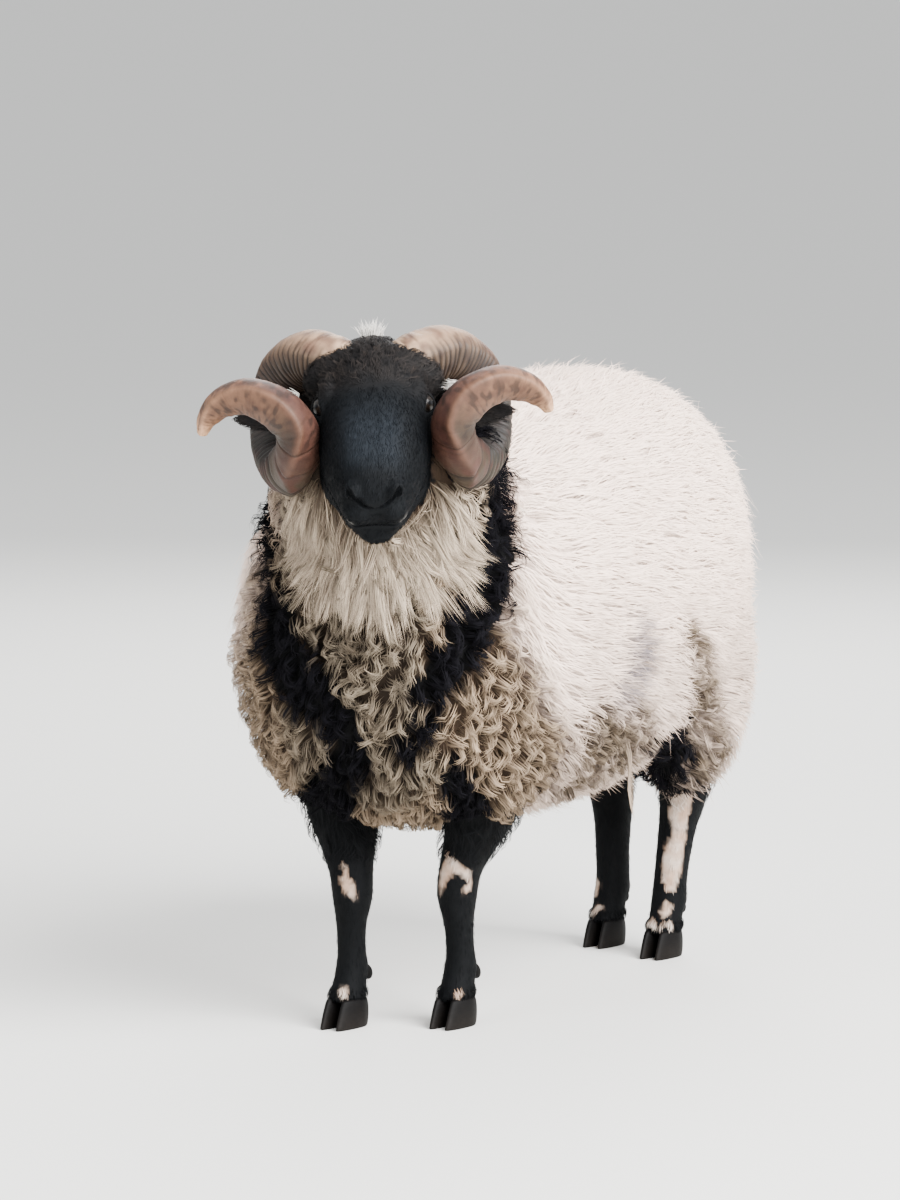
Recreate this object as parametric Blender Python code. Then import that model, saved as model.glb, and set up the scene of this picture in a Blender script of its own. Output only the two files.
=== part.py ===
"""A Mayo blackface ram, standing, life size, its head turned to its left.

Metres, +Z up. The ram faces -Y and its left side is +X. Until the last step the ground point
midway between its front feet is the origin. That step moves all to the centre of its own floor box.
"""

import math
import random

import bmesh
import bpy
import numpy as np
from mathutils import Matrix, Vector
from mathutils.bvhtree import BVHTree

# Driving sizes of the animal
STRIDE = 0.583
GAP = 0.0004
HEAD_YAW = math.radians(28.0)
HEAD_ROLL = math.radians(1.9)
FACE_SLOPE = math.radians(47.0)
CROWN = Vector((0.069, -0.201, 0.806))
EYE_RADIUS = 0.0128
HOOF_HEIGHT = 0.0340

# The fleece: how far its clumps stand over the core
FLEECE_RELIEF = 0.024
NECK_RELIEF = 0.020
CLUMP_TIP_LIFT = 0.009
NECK_SPACING = 0.066
SEED = 7

# Triangles of the joined forms before other parts are cut from them
HEAD_TRIANGLES = 1650
NECK_TRIANGLES = 2100
TORSO_TRIANGLES = 4200
TAIL_TRIANGLES = 640

# Name, colour (red, green, blue), roughness
FINISHES = {
    "cream_wool": ((0.78, 0.69, 0.61), 0.95),
    "black_hair": ((0.012, 0.012, 0.014), 0.75),
    "horn": ((0.50, 0.33, 0.24), 0.5),
    "hoof": ((0.03, 0.027, 0.025), 0.45),
    "eye": ((0.02, 0.012, 0.006), 0.08),
}


# Head directions: across to its left, forward and down along the face, and out from the face
def head_axes():
    facing = Vector((math.sin(HEAD_YAW), -math.cos(HEAD_YAW), 0.0))
    roll = Matrix.Rotation(HEAD_ROLL, 3, facing)
    up = roll @ Vector((0.0, 0.0, 1.0))
    across = roll @ Vector((math.cos(HEAD_YAW), math.sin(HEAD_YAW), 0.0))
    along = math.cos(FACE_SLOPE) * facing - math.sin(FACE_SLOPE) * up
    out = math.sin(FACE_SLOPE) * facing + math.cos(FACE_SLOPE) * up
    return facing, up, across, along, out


FACING, HEAD_UP, ACROSS, ALONG, OUT = head_axes()


def on_head(across, along, out):
    """A point of the head, from the crown."""
    return CROWN + ACROSS * across + ALONG * along + OUT * out


def beside_head(across, back, up):
    """A point round the head, from the crown, level with the ground."""
    return CROWN + ACROSS * across - FACING * back + HEAD_UP * up


# Mesh making
def clear_scene():
    for obj in list(bpy.data.objects):
        bpy.data.objects.remove(obj)


def finish(name):
    material = bpy.data.materials.get(name)
    if material is None:
        colour, roughness = FINISHES[name]
        material = bpy.data.materials.new(name)
        material.use_nodes = True
        shader = material.node_tree.nodes["Principled BSDF"]
        shader.inputs["Base Color"].default_value = (*colour, 1.0)
        shader.inputs["Roughness"].default_value = roughness
        shader.inputs["Metallic"].default_value = 0.0
        material.diffuse_color = (*colour, 1.0)
    return material


def add(name, points, faces, look="cream_wool"):
    """A named object whose faces point out."""
    mesh = bpy.data.meshes.new(name)
    mesh.from_pydata([tuple(p) for p in points], [], faces)
    mesh.materials.append(finish(look))
    made = bmesh.new()
    made.from_mesh(mesh)
    bmesh.ops.recalc_face_normals(made, faces=made.faces)
    if made.calc_volume(signed=True) < 0:
        bmesh.ops.reverse_faces(made, faces=made.faces)
    made.to_mesh(mesh)
    made.free()
    obj = bpy.data.objects.new(name, mesh)
    bpy.context.scene.collection.objects.link(obj)
    return obj


def smooth(rows, count):
    """count rows at even steps along the smooth curve through the rows given."""
    rows = np.array(rows, float)
    more = np.vstack([2 * rows[0] - rows[1], rows, 2 * rows[-1] - rows[-2]])
    place = np.linspace(0, len(rows) - 1, count)
    first = np.minimum(place.astype(int), len(rows) - 2)
    f = (place - first)[:, None]
    a, b, c, d = more[first], more[first + 1], more[first + 2], more[first + 3]
    return 0.5 * (
        2 * b
        + (c - a) * f
        + (2 * a - 5 * b + 4 * c - d) * f**2
        + (3 * b - a - 3 * c + d) * f**3
    )


def tube_rings(rows, up, sides, grow=0.0, axis=None):
    """Rings of points along a path, square to it or to the axis given.

    A row is x, y, z, half width, reach up, reach down, squareness.
    """
    path = rows[:, :3]
    tangents = np.gradient(path, axis=0) if axis is None else np.tile(np.array(axis, float), (len(path), 1))
    tangents /= np.linalg.norm(tangents, axis=1)[:, None]
    path = path.copy()
    path[0] -= tangents[0] * grow
    path[-1] += tangents[-1] * grow
    rings = []
    for point, tangent, row in zip(path, tangents, rows):
        rise = np.array(up) - tangent * (np.array(up) @ tangent)
        rise /= np.linalg.norm(rise)
        side = np.cross(tangent, rise)
        width, high, low, square = row[3] + grow, row[4] + grow, row[5] + grow, row[6]
        ring = []
        for k in range(sides):
            turn = 2 * math.pi * k / sides
            x, y = math.cos(turn), math.sin(turn)
            x = math.copysign(abs(x) ** (2 / square), x) * width
            y = math.copysign(abs(y) ** (2 / square), y) * (high if y > 0 else low)
            ring.append(point + side * x + rise * y)
        rings.append(ring)
    return np.array(rings)


def shell(name, rings, look="cream_wool"):
    """A closed surface through rings of points, with a fan at each end."""
    count, sides = len(rings), len(rings[0])
    points = [p for ring in rings for p in ring]
    points += [rings[0].mean(axis=0), rings[-1].mean(axis=0)]
    faces = []
    for i in range(count - 1):
        for k in range(sides):
            m = (k + 1) % sides
            a, b, c, d = i * sides + k, i * sides + m, (i + 1) * sides + m, (i + 1) * sides + k
            faces += [(a, b, c), (a, c, d)]
    start, end, last = count * sides, count * sides + 1, (count - 1) * sides
    for k in range(sides):
        m = (k + 1) % sides
        faces.append((start, m, k))
        faces.append((end, last + k, last + m))
    return add(name, points, faces, look)


def tube(name, stations, up, sides, count, look="cream_wool", grow=0.0, axis=None):
    return shell(name, tube_rings(smooth(stations, count), up, sides, grow, axis), look)


def ball(name, centre, radii, axes, segments, rings, look="cream_wool"):
    """An ellipsoid whose three radii lie along the axes given."""
    made = bmesh.new()
    bmesh.ops.create_uvsphere(made, u_segments=segments, v_segments=rings, radius=1.0)
    turn = Matrix([list(axis) for axis in axes]).transposed()
    points = [Vector(centre) + turn @ Vector([c * r for c, r in zip(v.co, radii)]) for v in made.verts]
    faces = [[v.index for v in f.verts] for f in made.faces]
    made.free()
    return add(name, points, faces, look)


def half_space(name, point, normal, reach=1.2):
    """A large block on the side of a plane that its normal points to."""
    normal = Vector(normal).normalized()
    turn = normal.to_track_quat("Z", "Y").to_matrix()
    points = []
    for z in (0.0, reach):
        for x, y in ((-1, -1), (1, -1), (1, 1), (-1, 1)):
            points.append(Vector(point) + turn @ Vector((x * reach, y * reach, z)))
    faces = [(0, 3, 2, 1), (4, 5, 6, 7), (0, 1, 5, 4), (1, 2, 6, 5), (2, 3, 7, 6), (3, 0, 4, 7)]
    return add(name, points, faces)


# Joining and cutting
def put_in_order(mesh):
    """Sorts the points and faces, so that what follows doesn't depend on the solver's own order."""
    points = np.array([v.co for v in mesh.vertices])
    rank = np.lexsort(points.T.round(7))
    place = np.empty(len(rank), int)
    place[rank] = np.arange(len(rank))
    faces = []
    for polygon in mesh.polygons:
        ring = [int(place[i]) for i in polygon.vertices]
        first = ring.index(min(ring))
        faces.append(ring[first:] + ring[:first])
    mesh.clear_geometry()
    mesh.from_pydata(points[rank].tolist(), [], sorted(faces))


def apply_boolean(obj, others, operation):
    """Joins the others to obj, or cuts them from it, and removes them."""
    group = bpy.data.collections.new("group")
    bpy.context.scene.collection.children.link(group)
    for other in others:
        bpy.context.scene.collection.objects.unlink(other)
        group.objects.link(other)
    modifier = obj.modifiers.new("boolean", "BOOLEAN")
    modifier.operand_type = "COLLECTION"
    modifier.collection = group
    modifier.operation = operation
    # The exact solver takes minutes on a hundred clumps, and each piece here is closed.
    modifier.solver = "MANIFOLD"
    bpy.context.view_layer.objects.active = obj
    bpy.ops.object.modifier_apply(modifier=modifier.name)
    for other in list(group.objects):
        bpy.data.objects.remove(other)
    bpy.data.collections.remove(group)
    put_in_order(obj.data)
    return obj


def join(obj, *others):
    return apply_boolean(obj, list(others), "UNION")


def cut(obj, *others):
    for other in others:
        apply_boolean(obj, [other], "DIFFERENCE")
    return obj


def keep_largest(obj):
    """Leaves only the largest closed surface of the object's mesh, in the object's first material."""
    made = bmesh.new()
    made.from_mesh(obj.data)
    bmesh.ops.triangulate(made, faces=made.faces)
    left, parts = set(made.verts), []
    while left:
        found, edge = set(), [left.pop()]
        while edge:
            vert = edge.pop()
            found.add(vert)
            for link in vert.link_edges:
                other = link.other_vert(vert)
                if other in left:
                    left.discard(other)
                    edge.append(other)
        parts.append(found)
    largest = max(parts, key=len)
    bmesh.ops.delete(made, geom=[v for v in made.verts if v not in largest], context="VERTS")
    made.to_mesh(obj.data)
    made.free()
    look = obj.data.materials[0]
    obj.data.materials.clear()
    obj.data.materials.append(look)
    return obj


def closed(mesh):
    made = bmesh.new()
    made.from_mesh(mesh)
    whole = all(edge.is_manifold for edge in made.edges)
    made.free()
    return whole


def thin_out(obj, triangles):
    """Collapses the edges that shape it least, down to about this many triangles.

    Where that would pinch the surface to a point or an edge, a few more triangles are kept.
    """
    bpy.context.view_layer.objects.active = obj
    full = obj.data
    full.calc_loop_triangles()
    for kept in range(triangles, 2 * triangles, 40):
        obj.data = full.copy()
        modifier = obj.modifiers.new("thin", "DECIMATE")
        modifier.ratio = kept / len(full.loop_triangles)
        bpy.ops.object.modifier_apply(modifier=modifier.name)
        if closed(obj.data):
            break
    return obj


# The trunk, with its fleece
# y, top, bottom, half width
TORSO = (
    (-0.176, 0.530, 0.420, 0.056),
    (-0.150, 0.612, 0.325, 0.128),
    (-0.085, 0.682, 0.250, 0.181),
    (0.030, 0.720, 0.226, 0.211),
    (0.180, 0.738, 0.221, 0.226),
    (0.330, 0.747, 0.230, 0.228),
    (0.470, 0.747, 0.262, 0.212),
    (0.590, 0.709, 0.320, 0.166),
    (0.655, 0.652, 0.390, 0.110),
    (0.686, 0.600, 0.460, 0.052),
)
# Where the trunk is widest, from its lower edge up
WIDEST = 0.43


def torso_core(grow, sides, count):
    rows = []
    for y, top, bottom, width in TORSO:
        middle = bottom + WIDEST * (top - bottom)
        rows.append((0.0, y, middle, width, top - middle, middle - bottom, 2.25))
    return tube("torso", rows, (0, 0, 1), sides, count, grow=grow, axis=(0, 1, 0))


def shoulder(side, grow):
    """The upper foreleg, which the fleece covers down to the elbow."""
    centre = (side * 0.108, 0.005, 0.36)
    return ball("shoulder", centre, (0.082 + grow, 0.105 + grow, 0.118 + grow), np.eye(3), 14, 8)


def haunch(side, grow):
    centre = (side * 0.102, 0.515, 0.385)
    return ball("haunch", centre, (0.092 + grow, 0.130 + grow, 0.180 + grow), np.eye(3), 14, 8)


# The plane where the neck leaves the trunk
NECK_PLANE = Vector((0.0, -0.100, 0.575))
NECK_NORMAL = Vector((0.0, -0.788, 0.616))


def neck_core(grow, sides=24, count=10):
    # x, y, z, half width, nape side, throat side, squareness
    rows = (
        (0.000, 0.020, 0.535, 0.165, 0.160, 0.165, 2.1),
        (0.015, -0.050, 0.600, 0.150, 0.135, 0.140, 2.1),
        (0.040, -0.110, 0.660, 0.132, 0.108, 0.115, 2.1),
        (0.058, -0.155, 0.712, 0.106, 0.080, 0.095, 2.1),
        (0.066, -0.180, 0.742, 0.080, 0.052, 0.075, 2.1),
    )
    return tube("neck", rows, (0, 0.75, 0.66), sides, count, grow=grow)


# The head
# along the face, top of the nose, under the jaw, half width, squareness
HEAD = (
    (-0.044, -0.058, -0.085, 0.020, 2.0),
    (-0.030, -0.028, -0.108, 0.038, 2.0),
    (-0.004, -0.002, -0.128, 0.056, 2.0),
    (0.030, 0.011, -0.142, 0.0680, 2.1),
    (0.066, 0.013, -0.148, 0.0665, 2.3),
    (0.105, 0.012, -0.142, 0.0635, 2.6),
    (0.140, 0.010, -0.130, 0.0575, 2.7),
    (0.168, 0.004, -0.114, 0.0465, 2.5),
    (0.192, -0.010, -0.100, 0.0370, 2.3),
    (0.207, -0.030, -0.084, 0.0240, 2.2),
)
EYE_AT = (0.0545, 0.071, -0.026)
EYE_FACING = (ACROSS * 0.80, ALONG * 0.18 + OUT * 0.57)


def head_core(grow, sides=24, count=18):
    rows = []
    for along, top, bottom, width, square in HEAD:
        middle, half = (top + bottom) / 2, (top - bottom) / 2
        rows.append((*on_head(0, along, middle), width, half, half, square))
    return tube("head", rows, OUT, sides, count, "black_hair", grow, ALONG)


def eye(side, grow=0.0, name="eye"):
    centre = on_head(side * EYE_AT[0], EYE_AT[1], EYE_AT[2])
    radius = EYE_RADIUS + grow
    return ball(name, centre, (radius,) * 3, (ALONG, OUT, ACROSS), 10, 7, "eye")


def eyelids(side):
    """The rim of both lids, an almond round the eye that droops towards the nose."""
    facing = (EYE_FACING[0] * side + EYE_FACING[1]).normalized()
    centre = on_head(side * EYE_AT[0], EYE_AT[1], EYE_AT[2]) + facing * 0.0075
    long_way = (ALONG - facing * facing.dot(ALONG)).normalized()
    high_way = facing.cross(long_way)
    length, height, thick, wrap, turns, sides = 0.0165, 0.0100, 0.0036, 0.005, 14, 5
    path = []
    for i in range(turns):
        turn = 2 * math.pi * i / turns
        corner = math.cos(turn)
        path.append(centre + long_way * length * corner + high_way * height * math.sin(turn)
                    - facing * wrap * corner * corner)
    points, faces = [], []
    for i, point in enumerate(path):
        tangent = (path[(i + 1) % turns] - path[i - 1]).normalized()
        outward = tangent.cross(facing).normalized()
        for k in range(sides):
            turn = 2 * math.pi * k / sides
            points.append(point + outward * thick * math.cos(turn) + facing * thick * math.sin(turn))
            m, n = (k + 1) % sides, (i + 1) % turns
            a, b, c, d = i * sides + k, i * sides + m, n * sides + m, n * sides + k
            faces += [(a, b, c), (a, c, d)]
    return add("lids", points, faces, "black_hair")


# Brows, cheeks, nose wings and lips: across, along, out, and their three radii
BULGES = (
    (0.047, 0.056, -0.010, 0.0150, 0.022, 0.0125),
    (0.038, 0.098, -0.104, 0.0260, 0.050, 0.0340),
    (0.0225, 0.192, -0.020, 0.0140, 0.018, 0.0120),
    (0.0185, 0.196, -0.050, 0.0190, 0.017, 0.0170),
)
CHIN = (0.0, 0.192, -0.082, 0.0240, 0.019, 0.0150)


def head_bulges(grow=0.0):
    bulges = []
    for side in (-1, 0, 1):
        for row in BULGES if side else (CHIN,):
            centre = on_head(side * row[0], row[1], row[2])
            radii = [r + grow for r in row[3:]]
            bulges.append(ball("bulge", centre, radii, (ACROSS, ALONG, OUT), 12, 7))
    return bulges


def nostril(side):
    """A slit that runs from high on the outside down to the middle of the nose."""
    rows = (
        (*on_head(side * 0.0325, 0.203, -0.009), 0.0018, 0.006, 0.006, 2.0),
        (*on_head(side * 0.0280, 0.210, -0.016), 0.0030, 0.008, 0.008, 2.0),
        (*on_head(side * 0.0190, 0.213, -0.026), 0.0028, 0.008, 0.008, 2.0),
        (*on_head(side * 0.0095, 0.215, -0.033), 0.0014, 0.006, 0.006, 2.0),
    )
    return tube("nostril", rows, tuple(ALONG), 8, 7)


def mouth_line():
    """The closed mouth: a shallow groove round the muzzle."""
    slot, depth, steps = 0.0009, 0.0035, 8
    points, faces = [], []
    for i in range(steps + 1):
        along = 0.140 + 0.095 * i / steps
        out = -0.0740 + 0.010 * (i / steps)
        for across, lift in ((-0.06, -slot), (0.06, -slot), (0.06, slot), (-0.06, slot)):
            points.append(on_head(across, along, out + lift))
    for i in range(steps):
        for k in range(4):
            m = (k + 1) % 4
            faces.append((i * 4 + k, i * 4 + m, i * 4 + 4 + m, i * 4 + 4 + k))
    faces += [(0, 1, 2, 3), (steps * 4 + 3, steps * 4 + 2, steps * 4 + 1, steps * 4)]
    slab = add("mouth", points, faces)
    return cut(slab, head_core(-depth))


# Horns: across, back and up from the crown, and half thickness
HORN = (
    (0.0305, 0.020, -0.030, 0.0280),
    (0.049, 0.030, -0.022, 0.0315),
    (0.075, 0.056, -0.019, 0.0325),
    (0.100, 0.088, -0.038, 0.0315),
    (0.113, 0.100, -0.076, 0.0300),
    (0.114, 0.086, -0.114, 0.0290),
    (0.107, 0.045, -0.136, 0.0280),
    (0.096, 0.000, -0.139, 0.0270),
    (0.087, -0.040, -0.120, 0.0262),
    (0.086, -0.060, -0.088, 0.0255),
    (0.106, -0.064, -0.062, 0.0240),
    (0.138, -0.056, -0.050, 0.0212),
    (0.167, -0.044, -0.058, 0.0175),
    (0.184, -0.032, -0.076, 0.0125),
    (0.191, -0.026, -0.094, 0.0060),
)
# How far its tip goes beyond those sizes: across, up
HORN_TIP_SHIFT = {-1: (0.0, 0.0), 1: (0.004, 0.014)}
# How much wider its turn is
HORN_OPEN = {-1: 0.0, 1: 0.010}
RIDGES = 24
RIDGE_DEPTH = 0.0016


def horn(side, sides=8, grow=0.0, ridges=RIDGES, name="horn"):
    """One full turn, keeled on its outer side, with growth ridges that fade towards the tip."""
    count = ridges * 2 + 1
    rows = smooth(HORN, count)
    share = np.linspace(0, 1, count)
    shift, wider = HORN_TIP_SHIFT[side], HORN_OPEN[side]
    path = np.array([
        beside_head(
            side * (row[0] + wider * math.sin(math.pi * min(1, f / 0.7)) + shift[0] * f**4),
            row[1],
            row[2] + shift[1] * f**4,
        )
        for row, f in zip(rows, share)
    ])
    tangents = np.gradient(path, axis=0)
    tangents /= np.linalg.norm(tangents, axis=1)[:, None]
    path[0] -= tangents[0] * grow
    path[-1] += tangents[-1] * grow
    middle = path.mean(axis=0)
    rings = []
    for i, (point, tangent, f) in enumerate(zip(path, tangents, share)):
        outward = point - middle
        outward -= tangent * (outward @ tangent)
        outward /= np.linalg.norm(outward)
        over = np.cross(tangent, outward)
        ridge = RIDGE_DEPTH * (1 - f) * (1 if i % 2 else -1)
        ring = []
        for k in range(sides):
            turn = 2 * math.pi * k / sides
            keel = 1.0 + 0.10 * math.cos(3 * turn)
            reach = rows[i][3] * keel * (0.96 if abs(math.sin(turn)) > 0.8 else 1.0) + ridge + grow
            ring.append(point + outward * reach * math.cos(turn) + over * reach * math.sin(turn))
        rings.append(ring)
    return shell(name, np.array(rings), "horn")


# Ears: a cupped leaf out of the side of the head
EAR_LENGTH = 0.100
EAR_HALF_WIDTH = 0.0235
EAR_THICK = 0.0042
EAR_CUP = 0.0105


def ear(side, grow=0.0, name="ear"):
    root = beside_head(side * 0.054, 0.016, -0.070)
    tip = beside_head(side * 0.157, 0.022, -0.083)
    out = (tip - root).normalized()
    front = (FACING * 0.93 - HEAD_UP * 0.36).normalized()
    front = (front - out * front.dot(out)).normalized()
    edge = out.cross(front)
    long_steps, wide_steps = 8, 4
    sheets = []
    for face in (1, -1):
        sheet = []
        for i in range(long_steps + 1):
            f = i / long_steps
            width = EAR_HALF_WIDTH * math.sin(math.pi * (0.16 + 0.80 * f) ** 0.80) ** 0.75
            cup = EAR_CUP * math.sin(math.pi * min(1.0, 0.35 + 0.65 * f))
            thick = EAR_THICK * (1.25 - 0.75 * f) / 2
            end = (i == long_steps) - (i == 0)
            spine = root + out * (f * EAR_LENGTH + grow * end)
            for k in range(wide_steps + 1):
                v = 2 * k / wide_steps - 1
                thin = thick * (1 - 0.55 * v * v) + grow
                v *= 1 + grow / width
                sheet.append(spine + edge * width * v + front * (cup * v * v + face * thin))
        sheets.append(sheet)
    wide = wide_steps + 1
    points = sheets[0] + sheets[1]
    shift, faces = len(sheets[0]), []
    for i in range(long_steps):
        for k in range(wide_steps):
            a, b, c, d = i * wide + k, i * wide + k + 1, (i + 1) * wide + k + 1, (i + 1) * wide + k
            faces += [(a, b, c), (a, c, d)]
            faces += [(a + shift, c + shift, b + shift), (a + shift, d + shift, c + shift)]
    for i in range(long_steps):
        for k in (0, wide_steps):
            a, b = i * wide + k, (i + 1) * wide + k
            faces += [(a, b, b + shift), (a, b + shift, a + shift)]
    for i in (0, long_steps):
        for k in range(wide_steps):
            a, b = i * wide + k, i * wide + k + 1
            faces += [(a, b, b + shift), (a, b + shift, a + shift)]
    return add(name, points, faces, "black_hair")


# Legs. A row is height, how far the path has gone from the body to the foot, y shift, half width,
# reach back, reach forward
FRONT_LEG = (
    (0.320, 0.00, 0.004, 0.0440, 0.060, 0.052),
    (0.285, 0.12, 0.009, 0.0440, 0.064, 0.049),
    (0.240, 0.36, 0.011, 0.0400, 0.058, 0.042),
    (0.208, 0.68, 0.009, 0.0325, 0.042, 0.034),
    (0.178, 1.00, 0.006, 0.0268, 0.029, 0.030),
    (0.150, 1.10, 0.005, 0.0248, 0.026, 0.028),
    (0.118, 1.03, 0.004, 0.0192, 0.022, 0.021),
    (0.086, 1.00, 0.005, 0.0182, 0.023, 0.019),
    (0.066, 1.00, 0.006, 0.0205, 0.027, 0.022),
    (0.050, 1.00, 0.001, 0.0208, 0.024, 0.024),
    (0.030, 1.00, -0.005, 0.0240, 0.026, 0.028),
)
HIND_LEG = (
    (0.340, 0.00, -0.006, 0.0600, 0.084, 0.074),
    (0.300, 0.22, 0.000, 0.0540, 0.070, 0.064),
    (0.255, 0.48, 0.016, 0.0430, 0.054, 0.050),
    (0.215, 0.70, 0.032, 0.0330, 0.043, 0.038),
    (0.185, 0.82, 0.034, 0.0285, 0.038, 0.033),
    (0.155, 0.90, 0.026, 0.0245, 0.031, 0.029),
    (0.115, 0.96, 0.017, 0.0225, 0.028, 0.026),
    (0.084, 1.00, 0.012, 0.0225, 0.028, 0.025),
    (0.066, 1.00, 0.010, 0.0238, 0.030, 0.026),
    (0.050, 1.00, 0.002, 0.0222, 0.026, 0.025),
    (0.030, 1.00, -0.005, 0.0245, 0.027, 0.028),
)
# Name: side, where it leaves the body (x, y), where it stands (x, y), shape
LEGS = {
    "front_left": (1, (0.088, 0.026), (0.055, 0.026), FRONT_LEG),
    "front_right": (-1, (-0.088, -0.020), (-0.054, -0.038), FRONT_LEG),
    "hind_left": (1, (0.104, 0.535), (0.061, STRIDE - 0.022), HIND_LEG),
    "hind_right": (-1, (-0.092, 0.560), (-0.040, STRIDE + 0.020), HIND_LEG),
}


def leg(which, grow=0.0, sides=12, count=17):
    side, top, foot, shape = LEGS[which]
    rows = []
    for height, gone, shift, width, back, fore in shape:
        x = top[0] + (foot[0] - top[0]) * gone
        y = top[1] + (foot[1] - top[1]) * gone + shift
        rows.append((x, y, height, width, back, fore, 2.1))
    made = tube("leg_" + which, rows, (0, 1, 0), sides, count, "black_hair", grow, (0, 0, -1))
    if grow == 0.0:
        cut(made, half_space("floor_side", (0, 0, HOOF_HEIGHT + GAP), (0, 0, -1)))
        cut(made, *[dewclaw(which, s, GAP) for s in (-1, 1)])
    return made


def dewclaw(which, hand, grow=0.0):
    """The small claw high at the back of the foot."""
    foot = LEGS[which][2]
    centre = (foot[0] + hand * 0.012, foot[1] + 0.030, 0.060)
    axes = (Vector((1, 0, 0)), Vector((0, 0.83, 0.56)), Vector((0, -0.56, 0.83)))
    radii = (0.0062 + grow, 0.0075 + grow, 0.0115 + grow)
    name = f"dewclaw_{which}_{'outer' if hand == LEGS[which][0] else 'inner'}"
    return ball(name, centre, radii, axes, 6, 5, "hoof")


CLAW_HALF_WIDTH = 0.0125


def claw(which, hand):
    """One half of a cloven hoof: flat sole, sloping toe, flat inner wall."""
    foot = LEGS[which][2]
    levels = ((0.0, 0.042, 0.023, 1.0), (0.010, 0.038, 0.025, 1.04), (0.024, 0.032, 0.026, 1.0),
              (HOOF_HEIGHT, 0.027, 0.024, 0.92))
    rings = []
    for height, toe, heel, wide in levels:
        ring = []
        for k in range(8):
            turn = 2 * math.pi * k / 8
            c, s = math.cos(turn), math.sin(turn)
            bulge = CLAW_HALF_WIDTH * wide * (1.0 if c > 0 else 0.72)
            taper = 1.0 - 0.30 * max(0.0, -s)
            x = foot[0] + hand * (0.0100 + c * bulge * taper)
            y = foot[1] - 0.006 + (s * heel if s > 0 else s * toe)
            ring.append((x, y, height))
        rings.append(ring)
    name = f"hoof_{which}_{'outer' if hand == LEGS[which][0] else 'inner'}"
    return shell(name, np.array(rings), "hoof")


# The tail hangs down the rump
TAIL = (
    (0.0, 0.640, 0.610, 0.026, 0.026, 0.026, 2.0),
    (0.0, 0.688, 0.592, 0.034, 0.028, 0.026, 2.0),
    (0.0, 0.718, 0.545, 0.041, 0.028, 0.026, 2.0),
    (0.0, 0.726, 0.475, 0.042, 0.028, 0.028, 2.0),
    (0.0, 0.722, 0.405, 0.038, 0.027, 0.027, 2.0),
    (0.0, 0.716, 0.345, 0.026, 0.020, 0.020, 2.0),
    (0.0, 0.713, 0.312, 0.010, 0.008, 0.008, 2.0),
)


def tail(grow=0.0):
    return tube("tail", TAIL, (0, 1, 0.2), 12, 12, grow=grow)


def scrotum(grow=0.0):
    rows = (
        (0.0, 0.552, 0.380, 0.028, 0.026, 0.026, 2.0),
        (0.0, 0.556, 0.320, 0.027, 0.025, 0.024, 2.0),
        (0.0, 0.558, 0.275, 0.036, 0.030, 0.028, 2.2),
        (0.0, 0.558, 0.248, 0.034, 0.029, 0.028, 2.2),
        (0.0, 0.558, 0.230, 0.018, 0.017, 0.017, 2.0),
    )
    return tube("scrotum", rows, (0, 1, 0), 12, 12, grow=grow)


# The fleece
def search_tree(obj):
    points = [v.co.copy() for v in obj.data.vertices]
    return BVHTree.FromPolygons(points, [tuple(f.vertices) for f in obj.data.polygons])


def spread(obj, spacing, tries, seed):
    """Points all over the object's surface, each at least spacing(point) from those before it."""
    mesh = obj.data
    mesh.calc_loop_triangles()
    corners = np.array([[mesh.vertices[i].co for i in t.vertices] for t in mesh.loop_triangles])
    a, b, c = corners[:, 0], corners[:, 1], corners[:, 2]
    areas = np.linalg.norm(np.cross(b - a, c - a), axis=1)
    draw = np.random.default_rng(seed)
    pick = draw.choice(len(areas), tries, p=areas / areas.sum())
    f, g = draw.random((2, tries, 1))
    over = f + g > 1
    f, g = np.where(over, 1 - f, f), np.where(over, 1 - g, g)
    points = a[pick] + (b[pick] - a[pick]) * f + (c[pick] - a[pick]) * g
    kept = np.full((1, 3), 9.0)
    for point in points:
        if np.linalg.norm(kept - point, axis=1).min() >= spacing(point):
            kept = np.vstack([kept, point])
    return kept[1:]


def lobe(tree, start, lie, rows, sides=6, name="clump"):
    """A flat-bottomed lock or clump that runs over a surface.

    A row is how far along the lie, height of the middle over the surface, half width, reach up,
    reach down. The first and last rows are points.
    """
    here, normal, _, _ = tree.find_nearest(Vector(start))
    heading = (lie - normal * lie.dot(normal)).normalized()
    spine, gone = [], 0.0
    for along, lift, *_ in rows:
        steps = max(1, round(abs(along - gone) / 0.02))
        for _ in range(steps):
            here, normal, _, _ = tree.find_nearest(here + heading * (along - gone) / steps)
            heading = (heading - normal * heading.dot(normal)).normalized()
        gone = along
        spine.append((here + normal * lift, normal.copy(), heading.copy()))
    points = [spine[0][0]]
    for (centre, normal, heading), (_, _, wide, high, low) in zip(spine[1:-1], rows[1:-1]):
        side = heading.cross(normal)
        for k in range(sides):
            turn = 2 * math.pi * k / sides
            rise = math.sin(turn)
            points.append(centre + side * wide * math.cos(turn) + normal * rise * (high if rise > 0 else low))
    points.append(spine[-1][0])
    last, faces = len(points) - 1, []
    for i in range(len(rows) - 3):
        for k in range(sides):
            m = (k + 1) % sides
            a, b = 1 + i * sides + k, 1 + i * sides + m
            faces += [(a, b, b + sides), (a, b + sides, a + sides)]
    for k in range(sides):
        m = (k + 1) % sides
        faces.append((0, 1 + m, 1 + k))
        faces.append((last, last - sides + k, last - sides + m))
    return add(name, points, faces)


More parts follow.
